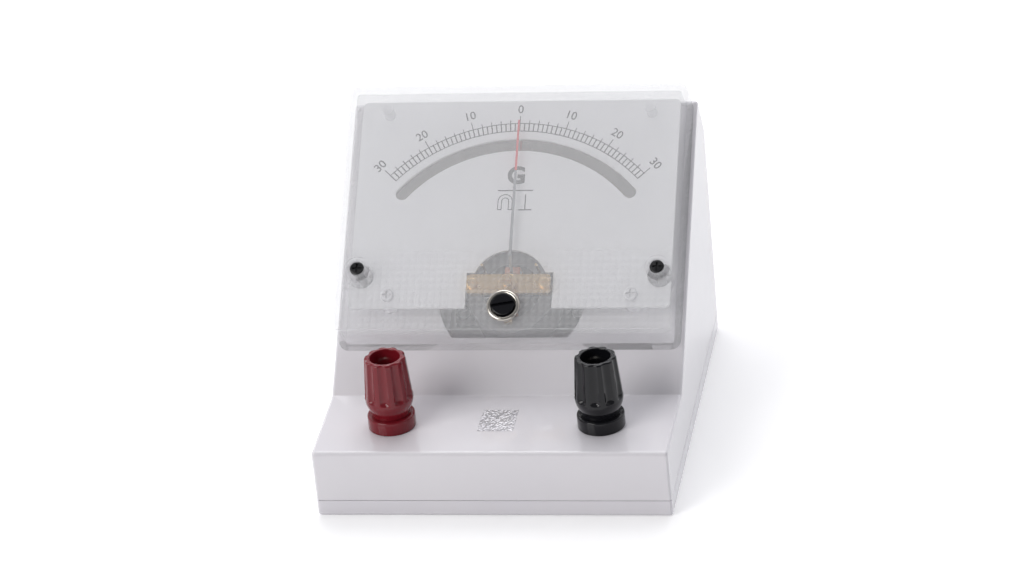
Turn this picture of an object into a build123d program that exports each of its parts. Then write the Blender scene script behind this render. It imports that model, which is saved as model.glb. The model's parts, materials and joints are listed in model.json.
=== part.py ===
"""Moving-coil galvanometer on a sloping desk stand.

Frame: millimetres, +Z up, +X to the reader's right, +Y away from the reader.
The origin is the centre of the stand's footprint box, on the surface that it stands on.
Lengths called _X, _U and _O are measured on the sloping panel: across it, up it from the
shelf, and outwards from its face.
"""
from build123d import *
import os
from math import atan2, cos, degrees, pi, radians, sin, sqrt, tan

os.makedirs("parts", exist_ok=True)

# Stand
STAND_WIDTH = 103.0
FRONT_HEIGHT = 21.0
SHELF_DEPTH = 32.7
PANEL_SLOPE = 38.6
PANEL_LENGTH = 93.7
CREST_RUN = 8.0
CREST_DROP = 14.2
REAR_LEAN = 4.2
WALL = 2.5
SEAM_HEIGHT = 5.4
SEAM_GAP = 0.2
PROFILE_RADIUS = 1.2
SIDE_RADIUS = 0.8
TONGUE_RISE = 2.0
TONGUE_THICKNESS = 1.2
SEAT_GAP = 0.02
FIT_GAP = 0.1
JOIN = 0.5
CUT = 1.0

# Base screws and their bosses
BASE_SCREW_SIDE = 8.5
BASE_SCREW_FRONT = 9.5
BASE_SCREW_REAR = 8.2
BASE_BOSS_RADIUS = 3.5
BASE_BOSS_TOP = 24.0
BASE_PAD_HEIGHT = 4.0
BASE_SCREW_RADIUS = 1.25
BASE_HEAD_RADIUS = 2.8
BASE_HEAD_HEIGHT = 1.7
BASE_SCREW_LENGTH = 10.0
BASE_HEAD_SINK = 0.3
BASE_PAD_WALL = 0.5
RIB_THICKNESS = 3.0

# Foil label on the shelf
LABEL_WIDTH = 10.3
LABEL_LENGTH = 11.9
LABEL_FRONT = 12.5
LABEL_THICKNESS = 0.1
LABEL_CORNER = 0.4

# Clear cover
COVER_INSET = 1.0
COVER_LENGTH = 79.3
COVER_START_U = 14.2
COVER_HEIGHT = 13.0
COVER_WALL = 2.0
COVER_CORNER = 3.0
COVER_EDGE = 1.0
COVER_SCREW_SIDE = 6.3
COVER_SCREW_U = 35.0
COVER_BOSS_RADIUS = 3.5
COVER_SCREW_RADIUS = 1.25
COVER_HEAD_RADIUS = 2.1
COVER_HEAD_HEIGHT = 1.4
COVER_SCREW_LENGTH = 18.0
COVER_SEAT_DEPTH = 1.6
PEG_RADIUS = 1.6
PEG_SIDE = 11.3
PEG_U = 86.7
PRISM_SIDE = 1.54
PRISM_COLUMNS = 48
PRISM_ROWS = 12
PRISM_FLAT = 0.25
PRISM_DEPTH = 0.55
PRISM_MARGIN = 1.5

# Dial
DIAL_MARGIN = 3.0
DIAL_START_U = 25.0
DIAL_LENGTH = 66.0
DIAL_TOP_O = 6.0
DIAL_THICKNESS = 0.8
DIAL_CORNER = 1.5
DIAL_ARCH_RADIUS = 11.2
DIAL_SHOULDER = 12.8
DIAL_SHOULDER_U = 36.2
DIAL_SCREW_SIDE = 11.5
DIAL_SCREW_U = 29.0
DIAL_SCREW_RADIUS = 0.9
DIAL_HEAD_RADIUS = 1.9
DIAL_HEAD_HEIGHT = 1.1
DIAL_SCREW_LENGTH = 5.0
DIAL_BOSS_RADIUS = 3.0
MIRROR_RADIUS = 44.9
MIRROR_SLOT_WIDTH = 3.9
MIRROR_HALF_ANGLE = 49.0
MIRROR_THICKNESS = 0.5
MIRROR_OVERLAP = 1.2

# Movement, on the pivot axis
PIVOT_U = 32.0
SWING = 49.0
WELL_RADIUS = 22.0
WELL_DEPTH = 20.0
WELL_FLAT = 13.9
WELL_WALL = 2.0
CORE_RADIUS = 6.0
CORE_LENGTH = 12.0
CORE_CHAMFER = 0.3
CORE_FRONT_O = 1.0
COIL_GAP = 0.4
FORMER_THICKNESS = 0.4
WINDING_THICKNESS = 0.9
COIL_HALF_WIDTH = 2.2
COIL_CORNER = 1.2
FORMER_CORNER = 0.6
YOKE_GAP = 0.4
YOKE_THICKNESS = 4.6
YOKE_OVERHANG = 1.0
FRAME_THICKNESS = 2.0
FRAME_STANDOFF = 3.0
FRAME_ARM_WIDTH = 8.0
FRAME_WEB_HALF_ANGLE = 12.0
FRAME_END = 0.4
FRAME_CORNER = 2.0
MOVEMENT_SCREW_X = 17.2
MOVEMENT_SCREW_RADIUS = 1.0
MOVEMENT_HEAD_RADIUS = 1.9
MOVEMENT_HEAD_HEIGHT = 1.3
MOVEMENT_SCREW_LENGTH = 5.8
BRIDGE_UNDERSIDE_O = 6.2
BRIDGE_THICKNESS = 1.4
BRIDGE_WIDTH = 6.0
BRIDGE_OVERHANG = 1.7
BRIDGE_CORNER = 1.2
BRIDGE_LEG_RADIUS = 1.7
BRIDGE_SCREW_RADIUS = 0.9
BRIDGE_HEAD_RADIUS = 1.6
BRIDGE_HEAD_HEIGHT = 1.0
BRIDGE_NUT_ACROSS = 3.6
BRIDGE_NUT_HEIGHT = 1.3
BRIDGE_SCREW_END = 0.3
JEWEL_SCREW_RADIUS = 1.5
JEWEL_SCREW_LENGTH = 4.2
JEWEL_RADIUS = 0.78
JEWEL_HEIGHT = 0.85
JEWEL_CUP_RADIUS = 0.585
JEWEL_CUP_DEPTH = 0.595
JEWEL_SLOT_WIDTH = 0.5
JEWEL_SLOT_DEPTH = 0.6
JEWEL_NUT_ACROSS = 4.8
JEWEL_NUT_HEIGHT = 1.1
RUNNING_GAP = 0.03
HUB_RADIUS = 2.0
HUB_THICKNESS = 0.6
HUB_RIM = 0.3
COLLET_RADIUS = 1.2
COLLET_LENGTH = 2.0
PIN_RADIUS = 0.25
PIN_LENGTH = 0.9
PIN_TIP = 0.315
PIN_TIP_RADIUS = 0.04
PIN_PLAY = 0.06
SPRING_OUTER_RADIUS = 5.3
SPRING_TURNS = 4
SPRING_STRIP = 0.12
SPRING_HEIGHT = 0.5
SPRING_CLEAR = 0.6
SPRING_END_ANGLE = 292.0
TAB_WIDTH = 1.1
TAB_THICKNESS = 0.5
POINTER_REACH = 52.0
POINTER_THICKNESS = 0.4
POINTER_ROOT_WIDTH = 0.9
POINTER_TIP_WIDTH = 0.5
POINTER_O = 7.9
CRANK_START = 5.3
CRANK_END = 8.7
TAIL_REACH = 11.0
CROSS_REACH = 7.4
TAIL_WEIGHT_RADIUS = 1.31
CROSS_WEIGHT_RADIUS = 0.75
WEIGHT_LENGTH = 2.2
WEIGHT_END = 0.3
STOP_PIN_RADIUS = 0.5
STOP_PITCH_RADIUS = 9.7
STOP_CLEAR = 0.12
STOP_DEPTH = 1.5
STOP_TOP_O = 8.6
LEVER_THICKNESS = 0.4
LEVER_RING_RADIUS = 3.0
LEVER_WIDTH = 3.0
LEVER_END = 1.4
LEVER_CORNER = 0.4
FORK_ROOT = 0.6
ARM_CORNER = 0.8
TERMINAL_Y = 9.0
TERMINAL_EDGE = 1.6
TERMINAL_WIDTH = 2.4
TAG_CORNER = 1.0

# Zero adjuster
ADJUSTER_U = 23.0
ADJUSTER_HEAD_RADIUS = 3.4
ADJUSTER_HEAD_HEIGHT = 2.3
ADJUSTER_HEAD_ROUND = 0.35
ADJUSTER_STEM_END = 0.5
ADJUSTER_STEM_RADIUS = 2.0
ADJUSTER_SLOT_WIDTH = 1.0
ADJUSTER_SLOT_DEPTH = 1.0
ADJUSTER_SLOT_TILT = 10.0
ECCENTRIC = 1.4
PIN_LOW_O = 7.2
ECCENTRIC_PIN_RADIUS = 0.5
FORK_CLEAR = 0.09
FERRULE_FLANGE_RADIUS = 4.85
FERRULE_FLANGE_HEIGHT = 0.5
FERRULE_WALL = 0.6
FERRULE_WEB = 1.2
FERRULE_TAIL = 0.4
FERRULE_CHAMFER = 0.2
CLIP_RADIUS = 3.2
CLIP_THICKNESS = 0.5

# Binding posts
POST_SIDE = 21.0
POST_FRONT = 16.2
SOCKET_RADIUS = 2.0
SOCKET_DEPTH = 12.0
STUD_RADIUS = 3.0
STUD_TOP = 17.0
STUD_TAIL = 11.0
STUD_FLANGE_RADIUS = 4.3
STUD_FLANGE_HEIGHT = 0.9
WIRE_HOLE_RADIUS = 1.0
WIRE_HOLE_SILL = 0.2
STUD_CHAMFER = 0.6
SOCKET_LEAD_IN = 0.5
COLLAR_RADIUS = 6.9
COLLAR_HEIGHT = 4.2
COLLAR_CHAMFER = 0.5
SPIGOT_RADIUS = 4.2
CAP_GAP = 0.05
CAP_HEIGHT = 18.3
CAP_FOOT_RADIUS = 5.6
CAP_BELLY_RADIUS = 7.0
CAP_BELLY_RISE = 5.3
CAP_TOP_RADIUS = 6.0
CAP_MOUTH_RADIUS = 4.35
CAP_RIM_ROUND = 0.6
CAP_FOOT_HEIGHT = 0.9
CAP_THROAT_GAP = 0.3
CAP_RECESS_RADIUS = 4.65
CAP_RECESS_DEPTH = 1.2
INSERT_WALL = 1.2
INSERT_LENGTH = 8.0
FLUTE_COUNT = 10
FLUTE_RADIUS = 1.7
FLUTE_DEPTH = 0.65
FLUTE_RISE = 5.4
WASHER_RADIUS = 6.5
WASHER_THICKNESS = 1.5
NUT_ACROSS = 10.0
NUT_HEIGHT = 2.5
POST_TAG_RADIUS = 5.0
POST_TAG_TAIL = 11.0
POST_TAG_WIDTH = 4.0
TAG_THICKNESS = 0.5
POST_TAG_HOLE = 0.9
POST_TAG_EDGE = 2.0

# Inner leads: heights above their rest on the base, and the way into the well
LEAD_RADIUS = 0.7
LEAD_HOLE_GAP = 0.6
LEAD_ARCH = 5.5
LEAD_SAG = 2.6
LEAD_CLIMB = 7.5
LEAD_ENTRY = 6.0
LEAD_FULLNESS = 0.45

# Proportions of small fasteners, as shares of the head or the nut
HEAD_ROUND = 0.35
DRIVE_REACH = 1.3
DRIVE_WIDTH = 0.28
DRIVE_DEPTH = 0.5
NUT_CONE_SPREAD = 1.2
NUT_CONE_TOP = 0.98

# Places worked out from the sizes above
RISE = sin(radians(PANEL_SLOPE))
RUN = cos(radians(PANEL_SLOPE))
CREST_Y = SHELF_DEPTH + PANEL_LENGTH * RUN
CREST_Z = FRONT_HEIGHT + PANEL_LENGTH * RISE
STAND_DEPTH = CREST_Y + CREST_RUN
FRONT_Y = -STAND_DEPTH / 2
PANEL = Plane(
    origin=(0, FRONT_Y + SHELF_DEPTH, FRONT_HEIGHT), x_dir=(1, 0, 0), z_dir=(0, -RISE, RUN)
).location
PIVOT = PANEL * Pos(0, PIVOT_U, 0)
SHELF = Pos(0, FRONT_Y, FRONT_HEIGHT)

BASE_SCREW_X = STAND_WIDTH / 2 - BASE_SCREW_SIDE
COVER_WIDTH = STAND_WIDTH - 2 * COVER_INSET
COVER_SCREW_X = COVER_WIDTH / 2 - COVER_SCREW_SIDE
PEG_X = COVER_WIDTH / 2 - PEG_SIDE
PRISM_PITCH = (COVER_WIDTH - 2 * PRISM_SIDE) / PRISM_COLUMNS
DIAL_WIDTH = COVER_WIDTH - 2 * DIAL_MARGIN
DIAL_SCREW_X = DIAL_WIDTH / 2 - DIAL_SCREW_SIDE
COVER_MIDDLE_U = COVER_START_U + COVER_LENGTH / 2
PRISM_MIDDLE_U = COVER_START_U + PRISM_MARGIN + PRISM_ROWS * PRISM_PITCH / 2
COVER_INSIDE_O = COVER_HEIGHT - COVER_WALL
DIAL_MIDDLE_U = DIAL_START_U + DIAL_LENGTH / 2
DIAL_UNDERSIDE_O = DIAL_TOP_O - DIAL_THICKNESS

CORE_BACK_O = CORE_FRONT_O - CORE_LENGTH
FORMER_INSIDE = CORE_RADIUS + COIL_GAP
FORMER_OUTSIDE = FORMER_INSIDE + FORMER_THICKNESS
COIL_OUTSIDE = FORMER_OUTSIDE + WINDING_THICKNESS
COIL_FRONT_O = CORE_FRONT_O + COIL_GAP + FORMER_THICKNESS + WINDING_THICKNESS
COIL_BACK_O = CORE_BACK_O - COIL_GAP - FORMER_THICKNESS - WINDING_THICKNESS
YOKE_INNER = sqrt(COIL_OUTSIDE**2 + COIL_HALF_WIDTH**2) + YOKE_GAP
YOKE_OUTER = YOKE_INNER + YOKE_THICKNESS
YOKE_FRONT_O = CORE_FRONT_O + YOKE_OVERHANG
YOKE_BACK_O = CORE_BACK_O - YOKE_OVERHANG
FRAME_FRONT_O = YOKE_BACK_O - FRAME_STANDOFF
FRAME_BACK_O = FRAME_FRONT_O - FRAME_THICKNESS
BRIDGE_TOP_O = BRIDGE_UNDERSIDE_O + BRIDGE_THICKNESS
CLAMP_X = (YOKE_INNER + YOKE_OUTER) / 2
POINTER_PLATE_O = COIL_FRONT_O + HUB_THICKNESS
FRONT_SPRING_O = POINTER_PLATE_O + POINTER_THICKNESS + SPRING_CLEAR
REAR_SPRING_O = COIL_BACK_O - SPRING_CLEAR - SPRING_HEIGHT
LEVER_O = BRIDGE_TOP_O
PIN_START_O = POINTER_PLATE_O + COLLET_LENGTH
REAR_PIN_START_O = COIL_BACK_O - HUB_THICKNESS - COLLET_LENGTH / 2
FORK_PITCH = PIVOT_U - ADJUSTER_U - ECCENTRIC
FRONT_JEWEL_O = PIN_START_O + PIN_LENGTH - JEWEL_CUP_DEPTH + PIN_PLAY
REAR_JEWEL_O = -REAR_PIN_START_O + PIN_LENGTH - JEWEL_CUP_DEPTH + PIN_PLAY
TURN_BACK = Rot(180, 0, 0)
FERRULE_LOW_O = COVER_INSIDE_O - FERRULE_TAIL

POST_X = STAND_WIDTH / 2 - POST_SIDE
INSERT_OUTER = STUD_RADIUS + RUNNING_GAP + INSERT_WALL
WASHER_LOW = -WALL - WASHER_THICKNESS
UPPER_NUT_LOW = WASHER_LOW - NUT_HEIGHT
TAG_LOW = UPPER_NUT_LOW - TAG_THICKNESS
CAP_LOW = COLLAR_HEIGHT + CAP_GAP


def rod(radius, low, high, x=0.0, y=0.0):
    """Upright cylinder between two heights."""
    return Pos(x, y, (low + high) / 2) * Cylinder(radius, high - low)


def tube(outer, inner, low, high, x=0.0, y=0.0):
    """Upright ring between two heights."""
    return rod(outer, low, high, x, y) - rod(inner, low - CUT, high + CUT, x, y)


def slab(width, length, low, high, x=0.0, y=0.0, corner=0.0):
    """Upright block between two heights, with rounded upright corners if asked."""
    outline = RectangleRounded(width, length, corner) if corner else Rectangle(width, length)
    return Pos(x, y, low) * extrude(outline, high - low)


def hexagon(across, low, high, x=0.0, y=0.0):
    """Upright hexagonal prism, measured across its flats."""
    return Pos(x, y, low) * extrude(RegularPolygon(across / 2, 6, major_radius=False), high - low)


def screw(shank, head, head_height, length, cross=True):
    """Pan-head screw that points down from the seat of its head, with a cross or a slot."""
    body = fillet(rod(head, 0, head_height).edges().sort_by(Axis.Z)[-1], head_height * HEAD_ROUND)
    drive = slab(
        head * DRIVE_REACH, head * DRIVE_WIDTH, head_height * DRIVE_DEPTH, head_height + CUT
    )
    if cross:
        drive += Rot(0, 0, 90) * drive
    return body - drive + rod(shank, -length, SEAT_GAP)


def nut(across, bore, low, high, x=0.0, y=0.0):
    """Hexagonal nut with its corners chamfered by a cone."""
    height = high - low
    prism = hexagon(across, 0, height) & Pos(0, 0, height / 2) * (
        Cone(across / 2 + height * NUT_CONE_SPREAD, across / 2 * NUT_CONE_TOP, height)
    )
    return Pos(x, y, low) * (prism - rod(bore, -CUT, height + CUT))


def group(*solids):
    """Like pieces as separate solids in one node."""
    return Compound(children=list(solids))


def mirrored(build):
    """The same piece on the left and on the right, from a function of the side."""
    return group(build(-1), build(1))


def save(name, shape):
    """Write one node."""
    export_step(shape, f"parts/{name}.step")


def side_outline():
    """The stand seen from its side, before its corners are rounded."""
    return Polyline(
        (FRONT_Y, 0),
        (FRONT_Y, FRONT_HEIGHT),
        (FRONT_Y + SHELF_DEPTH, FRONT_HEIGHT),
        (FRONT_Y + CREST_Y, CREST_Z),
        (FRONT_Y + STAND_DEPTH, CREST_Z - CREST_DROP),
        (FRONT_Y + STAND_DEPTH - REAR_LEAN, 0),
        close=True,
    )


def inset_body(inset):
    """The stand's body with every wall moved in by the same distance."""
    face = make_face(side_outline())
    if inset:
        face = offset(face, -inset, kind=Kind.INTERSECTION)
    return extrude(Plane.YZ * face, STAND_WIDTH / 2 - inset, both=True)


def outer_body():
    """The stand's outside, with rounded edges."""
    face = make_face(side_outline())
    face = fillet(face.vertices(), PROFILE_RADIUS)
    body = extrude(Plane.YZ * face, STAND_WIDTH / 2, both=True)
    sides = body.faces().filter_by(Axis.X).edges()
    return fillet(sides, SIDE_RADIUS)


def above(height):
    """A block that holds everything above a height."""
    return slab(STAND_WIDTH * 2, STAND_DEPTH * 2, height, height + CREST_Z * 2)


def base_screw_places():
    """Where the four base screws stand."""
    front = FRONT_Y + BASE_SCREW_FRONT
    rear = FRONT_Y + STAND_DEPTH - REAR_LEAN - BASE_SCREW_REAR
    return [(side * BASE_SCREW_X, y) for side in (-1, 1) for y in (front, rear)]


def dial_boss_places():
    """Where the dial rests on the panel: under the cover's pegs and at its own screws."""
    rests = [(side * PEG_X, PEG_U) for side in (-1, 1)]
    screws = [(side * DIAL_SCREW_X, DIAL_SCREW_U) for side in (-1, 1)]
    return rests, screws


def make_housing(outside, inside):
    """Upper moulding: shell, screw bosses, dial rests and the well for the movement."""
    shell = (outside - inside) & above(SEAM_HEIGHT)
    room = inset_body(WALL / 2)
    for x, y in base_screw_places():
        front = y < 0
        top = FRONT_HEIGHT if front else BASE_BOSS_TOP
        boss = rod(BASE_BOSS_RADIUS, BASE_PAD_HEIGHT + SEAT_GAP, top, x, y)
        if not front:
            foot = SEAM_HEIGHT + TONGUE_RISE + CUT
            boss += slab(RIB_THICKNESS, BASE_SCREW_REAR * 2, foot, top, x, y + BASE_SCREW_REAR)
        boss = boss & room
        pilot = BASE_PAD_HEIGHT + BASE_SCREW_LENGTH + CUT
        shell = shell + boss - rod(BASE_SCREW_RADIUS, 0, pilot, x, y)
    shell = shell + PIVOT * well_shape(WELL_WALL, -WELL_DEPTH - WELL_WALL, -WALL / 2)
    shell = shell - PIVOT * well_shape(0, -WELL_DEPTH, CUT)
    for side in (-1, 1):
        x = side * MOVEMENT_SCREW_X
        boss = rod(BASE_BOSS_RADIUS, -WELL_DEPTH - WELL_WALL / 2, FRAME_BACK_O, x)
        drill = rod(
            MOVEMENT_SCREW_RADIUS, FRAME_FRONT_O - MOVEMENT_SCREW_LENGTH - FIT_GAP, FRAME_BACK_O + CUT, x
        )
        shell = shell + PIVOT * boss - PIVOT * drill
        x, y = lead_hole(side)
        shell -= PIVOT * rod(
            LEAD_RADIUS + LEAD_HOLE_GAP, -WELL_DEPTH - WELL_WALL - CUT, -WELL_DEPTH + CUT, x, y
        )
        x = side * COVER_SCREW_X
        depth = COVER_SCREW_LENGTH - COVER_HEIGHT + COVER_SEAT_DEPTH + CUT
        shell += PANEL * rod(BASE_BOSS_RADIUS, -depth - CUT, -WALL / 2, x, COVER_SCREW_U)
        shell -= PANEL * rod(COVER_SCREW_RADIUS, -depth, CUT, x, COVER_SCREW_U)
        hole = rod(SPIGOT_RADIUS + FIT_GAP, -WALL * 2, CUT, side * POST_X, POST_FRONT)
        shell -= SHELF * hole
    rests, screws = dial_boss_places()
    for x, u in rests + screws:
        shell += PANEL * rod(DIAL_BOSS_RADIUS, -WALL / 2, DIAL_UNDERSIDE_O, x, u)
    for x, u in screws:
        low = DIAL_UNDERSIDE_O - DIAL_SCREW_LENGTH
        shell -= PANEL * rod(DIAL_SCREW_RADIUS, low, DIAL_TOP_O, x, u)
    return shell


def well_shape(grow, low, high):
    """Round well about the pivot axis, cut flat below so that it stays under the cover."""
    width = 2 * (WELL_RADIUS + grow)
    keep = slab(width, width, low - CUT, high + CUT, 0, width / 2 - WELL_FLAT - grow)
    return rod(WELL_RADIUS + grow, low, high) & keep


def lead_hole(side):
    """Where a lead passes the floor of the well, from the pivot axis."""
    return side * CLAMP_X, TERMINAL_Y


def make_base_plate(outside, inside):
    """Lower tray with the tongue that enters the housing and the pads for its screws."""
    tray = (outside - inside) - above(SEAM_HEIGHT - SEAM_GAP)
    tongue = inset_body(WALL + FIT_GAP) - inset_body(WALL + FIT_GAP + TONGUE_THICKNESS)
    tray += (tongue & above(WALL / 2)) - above(SEAM_HEIGHT + TONGUE_RISE)
    for x, y in base_screw_places():
        tray += rod(BASE_BOSS_RADIUS + BASE_PAD_WALL, JOIN, BASE_PAD_HEIGHT, x, y)
        tray -= rod(BASE_HEAD_RADIUS + FIT_GAP, -CUT, BASE_HEAD_HEIGHT + BASE_HEAD_SINK, x, y)
        tray -= rod(BASE_SCREW_RADIUS + FIT_GAP, -CUT, BASE_PAD_HEIGHT + CUT, x, y)
    return tray


def make_base_screws():
    """Four screws, driven up from below."""
    one = screw(BASE_SCREW_RADIUS - SEAT_GAP, BASE_HEAD_RADIUS, BASE_HEAD_HEIGHT, BASE_SCREW_LENGTH)
    up = Rot(180, 0, 0) * one
    seat = BASE_HEAD_HEIGHT + BASE_HEAD_SINK
    return group(*[Pos(x, y, seat) * up for x, y in base_screw_places()])


def make_foil_label():
    """Plain foil rectangle on the shelf."""
    middle = LABEL_FRONT + LABEL_LENGTH / 2
    return SHELF * slab(LABEL_WIDTH, LABEL_LENGTH, 0, LABEL_THICKNESS, 0, middle, LABEL_CORNER)


def make_meter_cover():
    """Clear moulded cover: open behind, with screw pillars and two pegs that hold the dial."""
    shell = slab(COVER_WIDTH, COVER_LENGTH, 0, COVER_HEIGHT, 0, COVER_MIDDLE_U, COVER_CORNER)
    shell = fillet(shell.faces().sort_by(Axis.Z)[-1].edges(), COVER_EDGE)
    width, length = COVER_WIDTH - 2 * COVER_WALL, COVER_LENGTH - 2 * COVER_WALL
    corner = COVER_CORNER - COVER_WALL
    shell -= slab(width, length, -CUT, COVER_INSIDE_O, 0, COVER_MIDDLE_U, corner)
    for side in (-1, 1):
        x = side * COVER_SCREW_X
        shell += rod(COVER_BOSS_RADIUS, 0, COVER_INSIDE_O + JOIN, x, COVER_SCREW_U)
        seat = COVER_HEIGHT - COVER_SEAT_DEPTH
        shell -= rod(COVER_SCREW_RADIUS + FIT_GAP, -CUT, COVER_HEIGHT + CUT, x, COVER_SCREW_U)
        shell -= rod(COVER_HEAD_RADIUS + FIT_GAP, seat, COVER_HEIGHT + CUT, x, COVER_SCREW_U)
        shell += rod(PEG_RADIUS, DIAL_TOP_O + SEAT_GAP, COVER_INSIDE_O + JOIN, side * PEG_X, PEG_U)
    sleeve = ferrule_sleeve_radius() + SEAT_GAP
    shell = prism_field(shell)
    shell -= rod(sleeve, COVER_INSIDE_O - CUT, COVER_HEIGHT + CUT, 0, ADJUSTER_U)
    return PANEL * shell


def prism_ridges(count, length):
    """Straight ridges side by side along Y, with narrow flat tops at the cover's face."""
    half = count * PRISM_PITCH / 2
    low, high = COVER_HEIGHT - PRISM_DEPTH, COVER_HEIGHT
    points = [(-half, low - PRISM_DEPTH), (-half, low)]
    for step in range(count):
        middle = (step + 0.5) * PRISM_PITCH - half
        points += [
            (middle - PRISM_FLAT / 2, high), (middle + PRISM_FLAT / 2, high),
            (middle + PRISM_PITCH / 2, low),
        ]
    points.append((half, low - PRISM_DEPTH))
    face = Plane.XZ * make_face(Polyline(*points, close=True))
    return extrude(face, length / 2, both=True)


def prism_field(cover):
    """Cut the cover's lower band into rows of small pyramids, with smooth pads at its holes."""
    width, length = PRISM_COLUMNS * PRISM_PITCH, PRISM_ROWS * PRISM_PITCH
    pads = rod(FERRULE_FLANGE_RADIUS + FIT_GAP, 0, COVER_HEIGHT + CUT, 0, ADJUSTER_U)
    for side in (-1, 1):
        pads += rod(COVER_BOSS_RADIUS, 0, COVER_HEIGHT + CUT, side * COVER_SCREW_X, COVER_SCREW_U)
    ridges = prism_ridges(PRISM_COLUMNS, length) & Rot(0, 0, 90) * prism_ridges(PRISM_ROWS, width)
    ridges = Pos(0, PRISM_MIDDLE_U, 0) * ridges - pads
    low = COVER_HEIGHT - PRISM_DEPTH
    pocket = slab(width, length, low, COVER_HEIGHT + CUT, 0, PRISM_MIDDLE_U) - pads
    return cover - pocket + ridges


def make_cover_screws():
    """Two black screws through the cover's pillars."""
    seat = COVER_HEIGHT - COVER_SEAT_DEPTH
    one = screw(
        COVER_SCREW_RADIUS - SEAT_GAP, COVER_HEAD_RADIUS, COVER_HEAD_HEIGHT, COVER_SCREW_LENGTH
    )
    return mirrored(lambda side: PANEL * Pos(side * COVER_SCREW_X, COVER_SCREW_U, seat) * one)


def arc_band(radius, width, half_angle, low, high):
    """Curved strip about the pivot with round ends, centred on the upward direction."""
    start = 90 - half_angle
    path = CenterArc((0, 0), radius, start, 2 * half_angle)
    return Pos(0, 0, low) * extrude(SlotArc(path, width), high - low)


def make_dial_plate():
    """Printed sheet with the arch for the movement and the long mirror slot."""
    plate = slab(
        DIAL_WIDTH, DIAL_LENGTH, DIAL_UNDERSIDE_O, DIAL_TOP_O, 0, DIAL_MIDDLE_U, DIAL_CORNER
    )
    plate = Pos(0, -PIVOT_U, 0) * plate
    low, high = DIAL_UNDERSIDE_O - CUT, DIAL_TOP_O + CUT
    plate -= rod(DIAL_ARCH_RADIUS, low, high)
    foot = DIAL_START_U - PIVOT_U - CUT
    plate -= slab(2 * DIAL_ARCH_RADIUS, -foot, low, high, 0, foot / 2)
    shoulder = DIAL_SHOULDER_U - PIVOT_U
    plate -= slab(2 * DIAL_SHOULDER, shoulder - foot, low, high, 0, (shoulder + foot) / 2)
    plate -= arc_band(MIRROR_RADIUS, MIRROR_SLOT_WIDTH, MIRROR_HALF_ANGLE, low, high)
    plate = PIVOT * plate
    for side in (-1, 1):
        hole = COVER_BOSS_RADIUS + 2 * FIT_GAP
        plate -= PANEL * rod(hole, low, high, side * COVER_SCREW_X, COVER_SCREW_U)
        plate -= PANEL * rod(
            DIAL_SCREW_RADIUS + FIT_GAP, low, high, side * DIAL_SCREW_X, DIAL_SCREW_U
        )
    return plate


def make_mirror_strip():
    """Mirror glued under the slot, a little wider than it."""
    width = MIRROR_SLOT_WIDTH + 2 * MIRROR_OVERLAP
    top = DIAL_UNDERSIDE_O
    return PIVOT * arc_band(MIRROR_RADIUS, width, MIRROR_HALF_ANGLE, top - MIRROR_THICKNESS, top)


def make_dial_screws():
    """Two small screws at the dial's lower corners."""
    one = screw(DIAL_SCREW_RADIUS - SEAT_GAP, DIAL_HEAD_RADIUS, DIAL_HEAD_HEIGHT, DIAL_SCREW_LENGTH)
    return mirrored(lambda side: PANEL * Pos(side * DIAL_SCREW_X, DIAL_SCREW_U, DIAL_TOP_O) * one)


def make_movement_frame():
    """Moulded bar behind the yoke, with two webs that hold the core inside it."""
    reach = MOVEMENT_SCREW_X + MOVEMENT_HEAD_RADIUS + FRAME_END
    low, high = FRAME_BACK_O, FRAME_FRONT_O
    frame = slab(2 * reach, FRAME_ARM_WIDTH, low, high, corner=FRAME_CORNER)
    ring = tube(YOKE_INNER - SEAT_GAP, CORE_RADIUS + SEAT_GAP, high - JOIN, CORE_FRONT_O)
    spread = YOKE_INNER * tan(radians(FRAME_WEB_HALF_ANGLE))
    for side in (-1, 1):
        wedge = Polyline(
            (0, 0), (side * YOKE_INNER, spread), (side * YOKE_INNER, -spread), close=True
        )
        web = extrude(make_face(wedge), CORE_FRONT_O - high + 2 * CUT)
        frame += ring & Pos(0, 0, high - CUT) * web
        x = side * CLAMP_X
        frame += rod(BRIDGE_LEG_RADIUS, high - JOIN, YOKE_BACK_O, x)
        frame -= rod(BRIDGE_SCREW_RADIUS + FIT_GAP / 2, low - CUT, YOKE_BACK_O + CUT, x)
        x = side * MOVEMENT_SCREW_X
        frame -= rod(MOVEMENT_SCREW_RADIUS + FIT_GAP, low - CUT, high + CUT, x)
    frame -= rod(JEWEL_SCREW_RADIUS + SEAT_GAP, low - CUT, high + CUT)
    return PIVOT * frame


def make_movement_screws():
    """Two screws that hold the movement in its well."""
    one = screw(
        MOVEMENT_SCREW_RADIUS - SEAT_GAP, MOVEMENT_HEAD_RADIUS, MOVEMENT_HEAD_HEIGHT,
        MOVEMENT_SCREW_LENGTH,
    )
    return mirrored(lambda side: PIVOT * Pos(side * MOVEMENT_SCREW_X, 0, FRAME_FRONT_O) * one)


def stop_place(side):
    """Where a stop pin meets the pointer's edge just past the end of its swing."""
    reach = POINTER_ROOT_WIDTH / 2 + STOP_PIN_RADIUS + STOP_CLEAR
    angle = radians(SWING) + reach / STOP_PITCH_RADIUS
    return side * STOP_PITCH_RADIUS * sin(angle), STOP_PITCH_RADIUS * cos(angle)


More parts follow.
